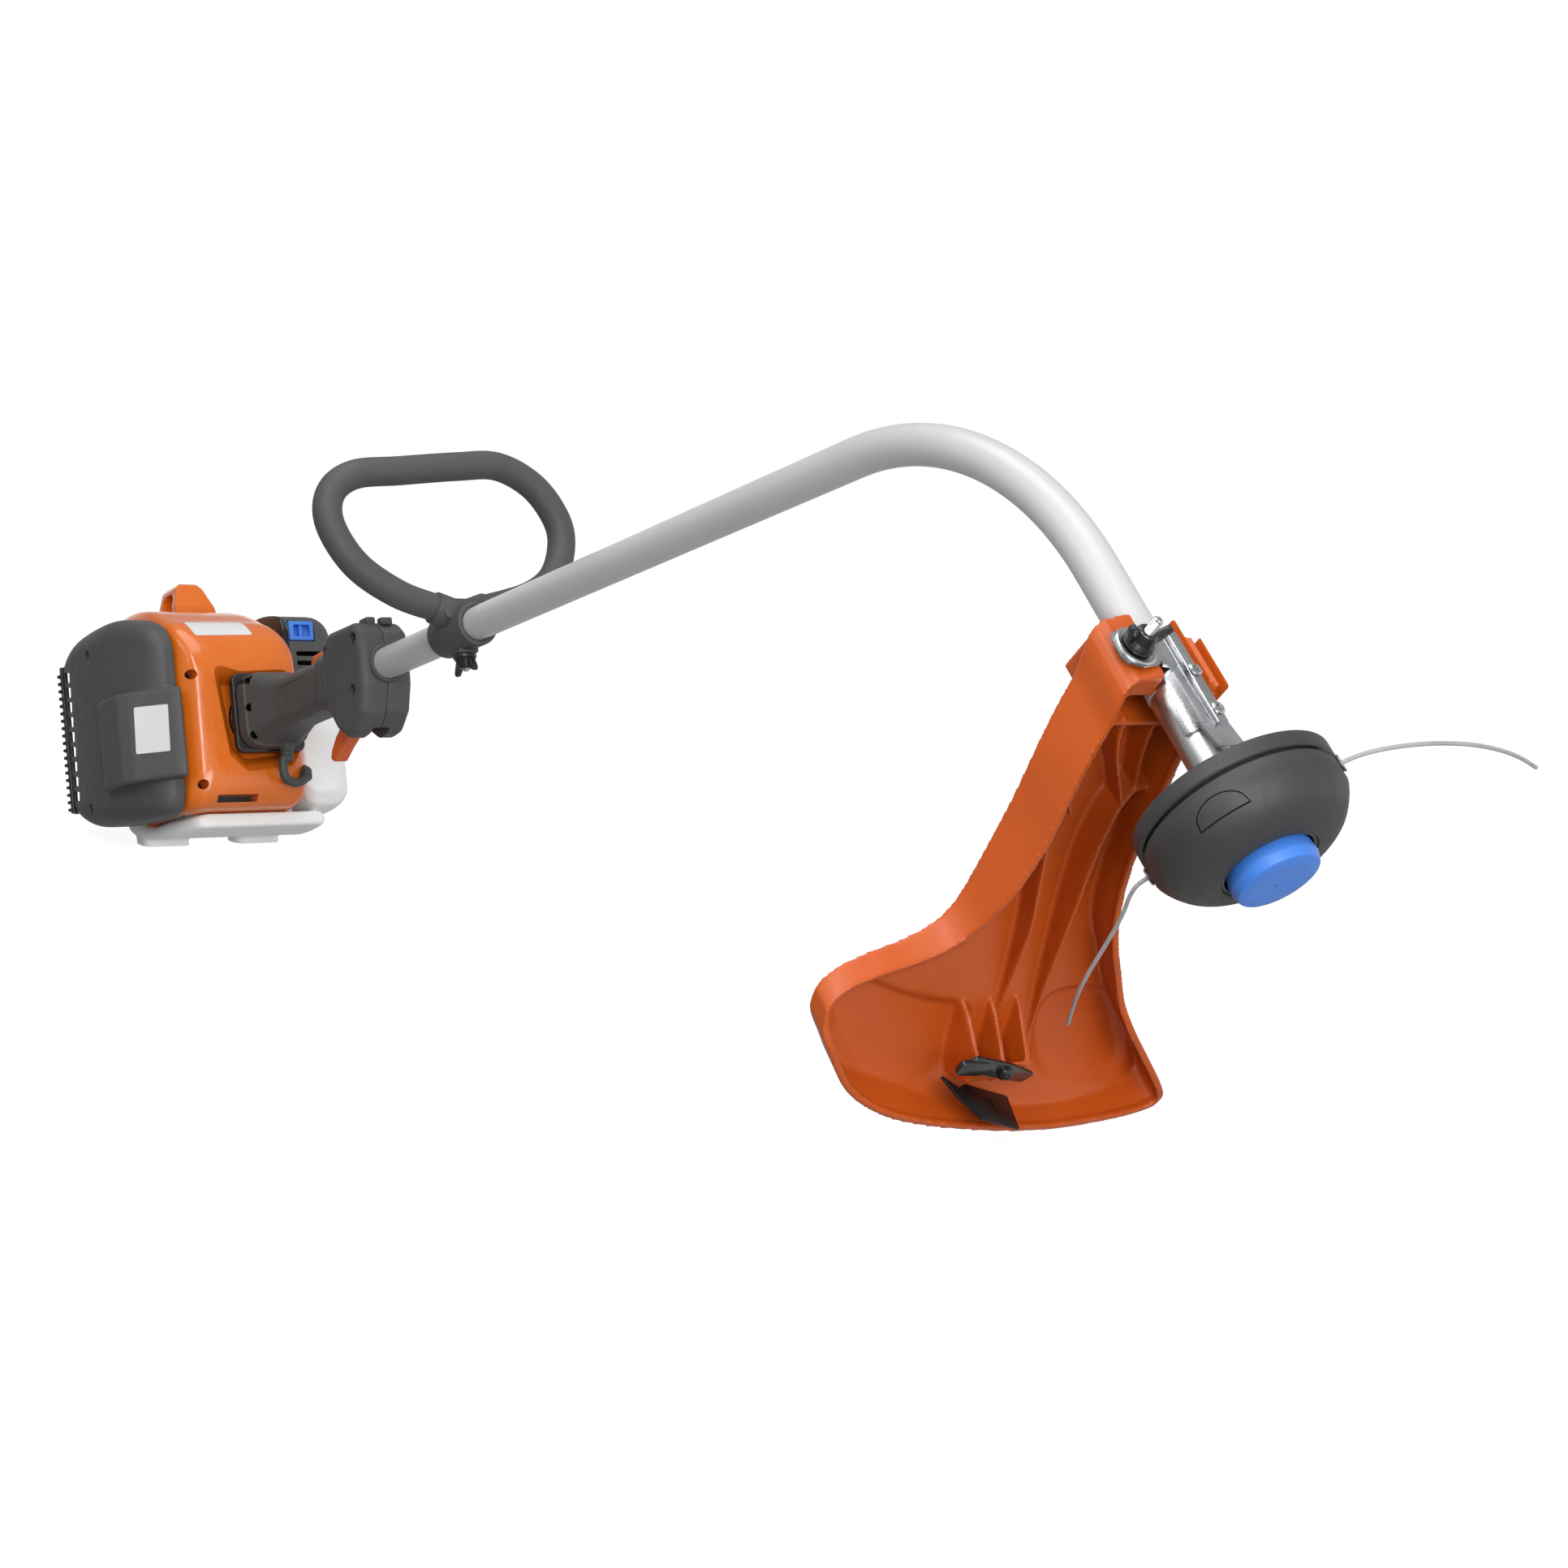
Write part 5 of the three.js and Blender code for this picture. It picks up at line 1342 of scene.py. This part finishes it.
# ---------------------------------------------------------------- throttle housing and rear grip
@dataclass
class Controls:
    """The two housing halves, trigger, lockout, switch, rear grip, screws and cable."""

    half_width: float = 23.0
    recess_depth: float = 21.6
    side: tuple[Point2, ...] = ((-46, 8), (-48, 26), (-58, 35.5), (-102, 36), (-113, 28), (-117, 4),
                                (-113, -26), (-100, -44), (-84, -54), (-70, -52), (-55, -38), (-47.5, -16))
    screws: tuple[Point2, ...] = ((-57, 22), (-65, -18))
    flange_screws: tuple[Point2, ...] = ((-22.6, -20), (-23.5, 26), (22.6, -20), (23.5, 26), (-24.4, 3))

    def half(self, name: str, sign: int) -> None:
        """One half of the housing, with its seam, screw wells and facets."""
        outline = rounded(self.side, 10, 5)
        shape = Bench.slab(f"housing_{name}", outline, -self.half_width, self.half_width, Along.Y, 7.0, 6)
        keep = (0.2, 40) if sign > 0 else (-40, -0.2)
        Bench.trim(shape, Bench.block("keep", (-140, keep[0], -80), (-20, keep[1], 80)))
        Bench.round_edges(shape, 0.5, 2, 70)
        tools = [Bench.rod("bore", (-140, 0, 0), (-20, 0, 0), TUBE_BORE, 64),
                 Bench.block("slot", (-130, -7.6, -56), (-66, 7.6, -24), 1.5),
                 Bench.block("switch", (-92, -6.6, 27), (-66, 6.6, 60))]
        for s, h in self.screws:
            tools.append(Bench.rod("well", (s, sign * 16.5, h), (s, sign * 30, h), 4.6, 32, 5.4))
        recess = rounded([(-112, 22), (-104, 26), (-99, 22), (-95, -34), (-101, -38), (-110, -22)], 3, 3)
        low, high = sorted((sign * self.recess_depth, sign * 30))
        tools.append(Bench.slab("recess", recess, low, high, Along.Y))
        Bench.carve(shape, *tools)
        if sign < 0:
            collar = rounded([(-52, TUBE_BORE), (-52, 17), (-43.5, 15), (-43.5, TUBE_BORE)], 1, 3)
            Bench.join(shape, Bench.turned("collar", collar, Along.X, 64))
            Bench.join(shape, Bench.block("tab", (-70, -9, 33), (-56, -1, 40), 1.6))
        else:
            Bench.join(shape, Bench.block("tab", (-60, 2, 33), (-52, 12, 39), 1.2))
        stand_in(shape, SHAFT, "grey_plastic", f"throttle_housing_{name}", degrees=32)

    def screw_heads(self) -> None:
        """The dark screws down in the wells."""
        for (s, h), name in zip(self.screws, ("upper", "lower")):
            shape = Bench.rod(f"housing_screw_{name}_head", (s, -16.4, h), (s, -19, h), 4.1, 32, bevel=0.6)
            Bench.carve(shape, Bench.rod("socket", (s, -17.6, h), (s, -22, h), 1.9, 6))
            stand_in(shape, SHAFT, "black_steel", f"housing_screw_{name}")

    def levers(self) -> None:
        """Trigger, lockout and stop switch."""
        blade = rounded([(-74, -27), (-90, -25.5), (-106, -28), (-118, -34), (-133, -43), (-142, -52),
                         (-146, -60), (-140, -63), (-127, -55), (-111, -47), (-93, -40), (-76, -38)], 3, 4)
        trigger = Bench.slab("trigger", blade, -6.6, 6.6, Along.Y, 2.2, 4)
        stand_in(trigger, SHAFT, "trigger_plastic", "throttle_trigger")
        lock = rounded([(-120, 15), (-120, 23.5), (-134, 26), (-148, 31.4), (-165, 30.5), (-170, 24),
                        (-160, 19.5)], 3, 4)
        stand_in(Bench.slab("lockout", lock, -4, 4, Along.Y, 1.4, 3), SHAFT, "trigger_plastic",
                 "throttle_lockout")
        switch = Bench.block("switch_slider", (-84, -5.6, 28), (-74, 5.6, 37.4), 1.0)
        for k in range(4):
            Bench.join(switch, Bench.block("rib", (-83 + 2.3 * k, -4.6, 36), (-81.7 + 2.3 * k, 4.6, 39.6),
                                           0.4))
        stand_in(switch, SHAFT, "grey_plastic", "stop_switch")

    def grip(self) -> None:
        """The grip body swelling into its screwed flange."""
        sections = [(-114, -20, 20, -23, 23, 9), (-131, -20, 20, -23, 23.5, 9),
                    (-137, -18, 18, -20.5, 21, 9),
                    (-170, -18.5, 18.5, -20.5, 21.5, 9), (-205, -19, 19, -21, 22, 10),
                    (-220, -21.5, 21.5, -23, 25, 11),
                    (-232, -24.5, 24.5, -25, 30, 12), (-243, -26.5, 26.5, -27, 33, 13),
                    (-247, -27.5, 27.5, -28.5, 34, 13)]
        rings = [[(s[0], y, z) for y, z in round_rect(*s[1:6], 8)] for s in flowing(sections, 4)]
        shape = Bench.loft("grip", rings)
        flange = Bench.loft("flange", [[(x, y, z) for y, z in round_rect(-r, r, -r - 1, r + 5, 16, 8)]
                                       for x, r in ((-247, 27.6), (-248.4, 29), (-260.6, 29.4),
                                                    (-262, 28.4))])
        Bench.join(shape, flange)
        Bench.carve(shape, Bench.rod("bore", (-280, 0, 0), (-100, 0, 0), TUBE_BORE, 64),
                    Bench.block("lever_slot", (-177, -4.4, 14.5), (-100, 4.4, 60)),
                    *[Bench.rod("well", (-242, y, z), (-262.5, y, z), 4.2, 28)
                      for y, z in self.flange_screws])
        sunk = [(-140, 12), (-196, 12.5), (-199, 9), (-199, -11), (-195, -14), (-140, -13.5)]
        panel = rounded(sunk, 4, 4)
        for side in (-1, 1):
            Bench.carve(shape, Bench.slab("panel", panel, side * 19.0 - 1.0, side * 19.0 + 1.0, Along.Y))
        stand_in(shape, SHAFT, "grey_plastic", "rear_grip", degrees=32)
        for k, (y, z) in enumerate(self.flange_screws):
            added(Bench.rod(f"flange_screw_{k}", (-252, y, z), (-258, y, z), 3.9, 24, bevel=0.5), SHAFT,
                  "black_steel", "rear_grip")

    def cable(self) -> None:
        """The throttle cable's boot and bend."""
        route = flowing([(-252, 8, -17), (-252, 8, -32), (-253, 4, -45), (-254, 6, -57), (-256, 16, -61),
                         (-259, 26, -57), (-264, 31, -50), (-275, 32, -46), (-292, 32, -45)], 10)
        shape = Bench.bar("cable", route, 3.9, 8)
        bellows = rounded([(0, 0.0), (0, 7.6), (10, 7.0), (14, 5.2), (15, 5.6), (17, 5.6), (18, 4.4),
                           (20, 5.0), (22, 5.0), (23, 4.2), (23, 0.0)], 0.6, 3)
        boot = Bench.turned("boot", bellows, Along.Z, 40)
        Bench.place(boot, at(-252, 8, -20) @ about("X", math.pi))
        nub = Bench.rod("nub", route[52], route[62], 5.4, 28, 4.9, 0.8)
        cable = Bench.fuse("cable_and_boot", shape, boot, nub)
        stand_in(cable, SHAFT, "cable_jacket", "throttle_cable")

    def build(self) -> None:
        """Builds the controls."""
        self.half("right", -1)
        self.half("left", 1)
        self.screw_heads()
        self.levers()
        self.grip()
        self.cable()


# ---------------------------------------------------------------- power head
Section = tuple[float, float, float, float, float, float, float, float, float]


@dataclass
class PowerHead:
    """Cowl, muffler cover, starter, filter cover, tank and their small pieces."""

    wall: float = 2.6
    muffler_seam: float = -74.6
    filter_seam: float = 39.2
    cowl_screws: tuple[Point2, ...] = ((-64, 37), (-62, -58))
    cover_screws: tuple[Point2, ...] = ((-372, 74), (-392, -58))
    feet: tuple[tuple[float, float, float, float], ...] = (
        (-398, -374, 12, 54), (-398, -374, -74, -32), (-426, -406, 29, 67), (-426, -406, -61, -33))
    tank_tray: tuple[tuple[float, ...], ...] = (
        (-290, -52, 50, -91, -80.4, 5), (-296, -62, 60, -93, -80.4, 6), (-328, -72, 64, -94, -80.4, 6),
        (-360, -76, 68, -91.5, -80, 6), (-400, -76, 72, -82, -66, 7), (-430, -66, 68, -68, -50, 7))
    tank_shelf: tuple[tuple[float, ...], ...] = (
        (-303, -60, 34, -84, -46, 10), (-330, -62, 34, -84, -44, 10), (-366, -62, 34, -84, -44, 10),
        (-396, -60, 34, -76, -46, 8))
    tank_side: tuple[tuple[float, ...], ...] = (
        (-288, 42, 74, -64, -8, 12), (-292, 40.8, 80, -70, 2, 14), (-300, 40.5, 87, -76, 10, 17),
        (-340, 40.5, 93, -78, 13.4, 19), (-390, 40.5, 93, -70, 13.4, 19), (-412, 40.5, 86, -62, 4, 14))
    vents: int = 9
    vent_pitch: float = 13.4
    vent_rise: float = math.radians(11)
    cap_ribs: int = 18
    cowl: tuple[Section, ...] = (
        (-266, -50, 25, -54, 44, 22, 20, 22, 20), (-268, -57, 29, -62, 54, 21, 18, 20, 18),
        (-272, -64, 32, -70, 65, 21, 15, 16, 16), (-279, -70, 35, -76.5, 75, 22, 12, 12, 16),
        (-289, -73.4, 36.4, -79, 84.5, 25, 10, 9, 16), (-302, -74, 37.5, -80, 91, 27, 9, 7, 18),
        (-330, -74, 38.5, -80, 104, 31, 9, 6, 18), (-365, -74, 38.5, -80, 112, 32, 11, 6, 18),
        (-398, -74, 38.5, -78, 114, 32, 14, 6, 18))
    muffler: tuple[Section, ...] = (
        (-280, -84, muffler_seam, -62, 62, 2, 6, 6, 2), (-284, -90, muffler_seam, -74, 73, 2, 9, 9, 2),
        (-294, -97, muffler_seam, -80, 83, 2, 14, 12, 2), (-320, -107, muffler_seam, -81, 94, 2, 19, 16, 2),
        (-350, -113, muffler_seam, -79, 99, 2, 22, 18, 2),
        (-405, -114, muffler_seam, -73, 98, 2, 22, 20, 2),
        (-440, -109, muffler_seam, -62, 90, 2, 18, 18, 2),
        (-449, -104, muffler_seam, -56, 84, 2, 14, 14, 2), (-452, -98, muffler_seam, -50, 78, 2, 10, 10, 2))
    filter: tuple[Section, ...] = (
        (-300, filter_seam, 76, 30, 84, 12, 2, 2, 12), (-303, filter_seam, 83, 25, 91, 15, 2, 2, 14),
        (-312, filter_seam, 89, 19, 98, 19, 2, 2, 17), (-345, filter_seam, 98, 15, 104, 23, 2, 2, 20),
        (-385, filter_seam, 98, 15, 102, 23, 2, 2, 20), (-393, filter_seam, 93, 18, 97, 20, 2, 2, 18),
        (-396.5, filter_seam, 86, 22, 91, 16, 2, 2, 16))
    starter: tuple[Section, ...] = (
        (-398.6, -74, 51, -53, 114, 32, 14, 10, 30), (-425, -74, 49, -46, 112, 32, 18, 14, 30),
        (-442, -70, 42, -41, 101, 32, 22, 20, 30), (-450, -62, 34, -36, 92, 32, 26, 26, 30),
        (-452.5, -52, 22, -28, 80, 28, 26, 26, 26))

    @staticmethod
    def ring(section: Sequence[float], grow: float = 0.0, steps: int = 7) -> list[Point3]:
        """One section of a cover, with its own round at each corner."""
        x, y0, y1, z0, z1, *radii = section
        y0, y1, z0, z1 = y0 - grow, y1 + grow, z0 - grow, z1 + grow
        corners = ((y1, z1, -1, -1), (y0, z1, 1, -1), (y0, z0, 1, 1), (y1, z0, -1, 1))
        out = []
        for c, ((y, z, sy, sz), radius) in enumerate(zip(corners, radii)):
            r = max(0.8, min(radius + grow, (y1 - y0) / 2 - 0.05, (z1 - z0) / 2 - 0.05))
            for k in range(steps + 1):
                a = (c + k / steps) * math.pi / 2
                out.append((x, y + sy * r + r * math.cos(a), z + sz * r + r * math.sin(a)))
        return out

    def body(self, name: str, sections: Sequence[Section], grow: float = 0.0, steps: int = 6) -> Shape:
        """A smooth loft through the sections of a cover."""
        return Bench.loft(name, [self.ring(s, grow) for s in flowing(sections, steps)])

    def cowl_cover(self) -> None:
        """The orange cowl, with its scoops, screw wells, slot and blank label."""
        shape = self.body("cowl", self.cowl)
        inner = self.body("inside", [(s[0] - 1.5, *s[1:])
                                     for s in self.cowl[4:]] + [(-410, *self.cowl[-1][1:])], -self.wall)
        rim = rounded([(-46, 45), (-22, 38), (22, 40), (34, 20), (34, -24), (18, -44), (-22, -48),
                       (-37, -34)], 7, 5)
        scoop = Bench.loft("scoop", [[(x, y * k, z * k) for y, z in rim]
                                     for x, k in ((-285, 0.72), (-279, 0.78), (-272, 0.88), (-266, 1.02),
                                                  (-250, 1.5))])
        tools = [inner, scoop, Bench.rod("hub", (-300, 0, 0), (-250, 0, 0), 27.5, 64),
                 Bench.block("slot", (-300, -50, -73.5), (-262, -13, -67.5), 0.8),
                 Bench.block("underside", (-420, -70, -100), (-300, 35, -64)),
                 *[Bench.rod("well", (-262, y, z), (-300, y, z), 4.3, 32) for y, z in self.cowl_screws]]
        Bench.carve(shape, *tools)
        stand_in(shape, SHAFT, "cowl_plastic", "engine_cowl", degrees=28)
        hollow = Bench.block("slot_floor", (-292, -52, -75), (-286, -11, -66))
        added(hollow, SHAFT, "black_plastic", "engine_cowl")
        for k, (y, z) in enumerate(self.cowl_screws):
            screw = Bench.rod(f"cowl_screw_{k}", (-286, y, z), (-300, y, z), 4.2, 32, bevel=0.5)
            Bench.carve(screw, Bench.rod("socket", (-284, y, z), (-288, y, z), 2.0, 6))
            added(screw, SHAFT, "black_steel", "engine_cowl")
        label = self.body("name_plate", self.cowl, 0.35)
        outline = rounded([(-55, 72), (-58, 87), (-4, 88.5), (-1, 73.5)], 2.5, 4)
        Bench.trim(label, Bench.slab("window", outline, -312, -262, Along.X))
        added(label, SHAFT, "label", "engine_cowl", 20)

    def muffler_cover(self) -> None:
        """The grey muffler cover with its bulge, vents, wells and blank sticker."""
        shape = self.body("muffler_shell", self.muffler)
        plan = rounded([(-265, -76), (-270, -84), (-297, -112), (-307, -119), (-342, -120.5), (-356, -110),
                        (-356, -76)], 7, 5)
        bulge = Bench.slab("bulge", plan, -51, 26, Along.Z, 6, 5)
        shape = Bench.mould(Bench.fuse("muffler_shell", shape, bulge), 1.7, 5)
        for vertex in shape.data.vertices:
            vertex.co.y = min(vertex.co.y, self.muffler_seam)
        inside = self.body("inside", [s if s[0] < -282 else (s[0] - 2, *s[1:]) for s in self.muffler[1:]],
                           -self.wall)
        for vertex in inside.data.vertices:
            if vertex.co.y > -86:
                vertex.co.y = -60
        Bench.carve(shape, inside)

        def slant(level: float) -> Matrix:
            """The louvres' rise towards the back, about their front end."""
            pivot = at(-419, 0, level)
            return pivot @ about("Y", self.vent_rise) @ pivot.inverted()

        tools = []
        for k in range(self.vents):
            low = -48 + self.vent_pitch * k
            for front, back, y0, y1 in ((-419, -441, -140, -98), (-441, -475, -103.5, -84)):
                vent = Bench.block("vent", (back - 0.1, y0, low), (front, y1, low + 9.0), 1.0, 2)
                tools.append(Bench.place(vent, slant(low)))
        tools += [Bench.rod("well", (s, -80, z), (s, -130, z), 4.4, 28) for s, z in self.cover_screws]
        Bench.carve(shape, *tools)
        stand_in(shape, SHAFT, "grey_plastic", "muffler_cover", degrees=30)
        for k, (s, z) in enumerate(self.cover_screws):
            added(Bench.rod(f"cover_screw_{k}", (s, -103, z), (s, -90, z), 4.4, 24, bevel=0.5), SHAFT,
                  "black_steel", "muffler_cover")
        post = rounded([(-441.5, -105), (-441.5, -110.6), (-446, -110.6), (-451.8, -104.5), (-451.8, -101)],
                       1, 3)
        added(Bench.slab("louvre_post", post, -54, 78, Along.Z, 0.6, 2), SHAFT, "black_plastic",
              "muffler_cover")
        for k in range(2 * self.vents + 1):
            low = -52 + self.vent_pitch / 2 * k
            spike = rounded([(-441, -105), (-442, -110.5), (-447, -113), (-452.8, -107), (-452.8, -102)],
                            1.2, 3)
            fin = Bench.slab(f"vent_fin_{k}", spike, low, low + 2.8, Along.Z, 0.7, 2)
            added(fin, SHAFT, "black_plastic", "muffler_cover")
        sheet = rounded([(-15, -20), (15, -20), (15, 20), (-15, 20)], 1.6, 4)
        sticker = Bench.slab("sticker", sheet, 0, 0.5, Along.Y)
        Bench.place(sticker, at(-283.4, -98.6, -8) @ about("Z", math.radians(46))
                    @ about("Y", math.radians(2)))
        added(sticker, SHAFT, "label", "muffler_cover")

    def filter_cover(self) -> None:
        """The grey filter cover, its grille, the black strip and the blue choke frame."""
        shape = self.body("filter_shell", self.filter)
        inner = self.body("inside", [(s[0] - 2.6 if s[0] > -320 else s[0] + 2.6 * (s[0] < -390), *s[1:])
                                     for s in self.filter], -self.wall)
        for vertex in inner.data.vertices:
            if vertex.co.y < 44:
                vertex.co.y = 30
        tools = [inner, Bench.block("lever", (-318, 44.4, 73.4), (-290, 69.6, 92.6))]
        tools += [Bench.block("grille", (-325, 50, 43 + 8.5 * k), (-290, 76, 47.4 + 8.5 * k), 1.0)
                  for k in range(3)]
        Bench.carve(shape, *tools)
        stand_in(shape, SHAFT, "grey_plastic", "air_filter_cover", degrees=30)
        strip = self.body("dark_strip", [(s[0], 38.8, 44.0, s[3] - 0.4, s[4] + 0.4, 4, 2, 2, 4)
                                         for s in self.filter])
        added(strip, SHAFT, "black_plastic", "air_filter_cover")
        choke = Bench.block("choke", (-315, 45.2, 74.2), (-299.4, 68.8, 91.8), 1.6)
        Bench.carve(choke, Bench.block("dish", (-306, 49, 77.6), (-290, 65, 88.4), 1.4))
        Bench.join(choke, Bench.block("bar", (-306.5, 55.5, 77), (-301, 58.5, 89), 0.8),
                    Bench.rod("stem", (-314, 57, 83), (-322, 57, 83), 3, 24))
        stand_in(choke, SHAFT, "blue_plastic", "choke_lever")

    def starter_side(self) -> None:
        """The starter housing with its air slots, and the arched pull handle."""
        shape = self.body("starter_shell", self.starter)
        inner = self.body("inside", [(-396, *self.starter[0][1:]), *self.starter[:3],
                                     (-449, *self.starter[3][1:])], -self.wall)
        slots = [Bench.block("air", (-470, -36, -18 + 14 * k), (-440, 16, -11 + 14 * k), 2)
                 for k in range(6)]
        Bench.carve(shape, inner, Bench.rod("rope", (-424, 0, 80), (-424, 0, 140), 4.6, 32), *slots,
                    Bench.block("relief", (-460, 38, -90), (-390, 69, 16)))
        stand_in(shape, SHAFT, "cowl_plastic", "starter_housing", degrees=30)
        front = rounded([(-14, 114.4), (-13, 128), (-9, 146), (-4, 150.3), (11, 150.3), (16, 145),
                         (25, 126), (28, 114.4)], 5, 6)
        grip = Bench.slab("pull", front, -443.6, -404.4, Along.X)
        side = rounded([(-443.4, 114), (-443.4, 128), (-438, 150.6), (-410, 150.6), (-404.6, 128),
                        (-404.6, 114)], 7, 6)
        Bench.trim(grip, Bench.slab("side", side, -60, 60, Along.Y))
        hole = rounded([(-436, 122.4), (-435, 137), (-431, 142), (-417, 142), (-413, 137), (-412, 122.4)],
                       4, 5)
        Bench.carve(grip, Bench.slab("hole", hole, -60, 60, Along.Y))
        Bench.round_edges(grip, 2.2, 4, 35)
        stand_in(grip, SHAFT, "cowl_plastic", "starter_handle", degrees=40)

    def tank(self) -> None:
        """The milky tank: one blow moulding with feet, and the cap."""
        pieces = []
        for sections in (self.tank_tray, self.tank_shelf, self.tank_side):
            rings = [[(s[0], y, z) for y, z in round_rect(*s[1:6])] for s in flowing(sections, 5)]
            pieces.append(Bench.loft("tank_part", rings))
        for s0, s1, y0, y1 in self.feet:
            rings = [[(x, y, z) for x, y in round_rect(s0 - g, s1 + g, y0 - g, y1 + g, 7 + g, 5)]
                     for g, z in ((7, -62), (5, -70), (0.5, -80), (0, -110))]
            pieces.append(Bench.loft("foot", rings))
        tank = Bench.mould(Bench.fuse("tank", *pieces), 1.8, 4, 0.6)
        Bench.place(tank, SHAFT)
        ground = Bench.block("ground", (-1, -1, -0.5), (1, 1, 0.0))
        Bench.carve(tank, ground)
        stand_in(tank, Matrix.Identity(4), "tank_plastic", "fuel_tank", degrees=40)
        cap = Bench.turned("cap", rounded([(93.6, 0.0), (93.6, 15), (102, 15), (104, 13.4), (104, 0.0)],
                                          1.2, 4), Along.Y, 72)
        for k in range(self.cap_ribs):
            a = 2 * math.pi * k / self.cap_ribs
            Bench.carve(cap, Bench.rod("flute", (15.6 * math.cos(a), 94.5, 15.6 * math.sin(a)),
                                       (15.6 * math.cos(a), 110, 15.6 * math.sin(a)), 1.3, 12))
        Bench.place(cap, at(-350, 0, -30))
        stand_in(cap, SHAFT, "black_plastic", "fuel_cap")

    def hub(self) -> None:
        """The black clutch housing seen round the grip's flange."""
        profile = rounded([(-262.6, 13.1), (-262.6, 26.5), (-286, 26.5), (-290, 31.2), (-301, 31.2),
                           (-301, 29), (-291.4, 29), (-291.4, 13.1)], 0.8, 3)
        shape = Bench.turned("clutch_cover", profile, Along.X, 72)
        plate = Bench.slab("plate", round_rect(-31.5, 31.5, -32.5, 36.5, 7), -270, -263, Along.X, 1.2)
        Bench.carve(plate, Bench.rod("bore", (-280, 0, 0), (-250, 0, 0), 24, 48))
        Bench.join(shape, plate)
        for k in range(10):
            a = 2 * math.pi * k / 10
            foot = Bench.block("rib", (-279, -1.2, 24), (-264, 1.2, 27.3), 0.4)
            Bench.place(foot, about("X", a))
            Bench.join(shape, foot)
        stand_in(shape, SHAFT, "black_plastic", "clutch_housing")

    def build(self) -> None:
        """Builds the power head's visible pieces."""
        self.hub()
        self.cowl_cover()
        self.muffler_cover()
        self.filter_cover()
        self.starter_side()
        self.tank()


@dataclass
class InnerPieces:
    """The CAD nodes that keep their own shape, and the finish each takes."""

    looks: tuple[tuple[str, tuple[str, ...]], ...] = (
        ("steel", ("drive_cable", "drive_adapter", "bump_spring", "trigger_pin", "clutch_drum",
                   "clutch_shoes", "crankshaft", "muffler")),
        ("bare_alloy", ("flywheel", "crankcase", "cylinder", "piston", "carburetor")),
        ("black_plastic", ("line_spool", "starter_pulley")), ("nylon_line", ("wound_line",)),
        ("porcelain", ("spark_plug",)), ("filter_foam", ("air_filter",)),
        ("clear_rubber", ("primer_bulb",)), ("rope", ("starter_rope",)))

    def build(self) -> None:
        """Gives each carried-over node its finish."""
        for finish, names in self.looks:
            for name in names:
                node = NODES[name]
                node.material_slots[0].material = material(finish)


def main() -> None:
    """Builds the whole trimmer."""
    logging.basicConfig(level=logging.INFO, format="%(message)s")
    Studio().build()
    LineEnds().build()
    for part in (CuttingHead(), DebrisGuard(), LineCutter(), GuardBracket(), Shaft(), LoopHandle(),
                 Controls(), PowerHead(), InnerPieces()):
        part.build()


if __name__ == "__main__":
    main()
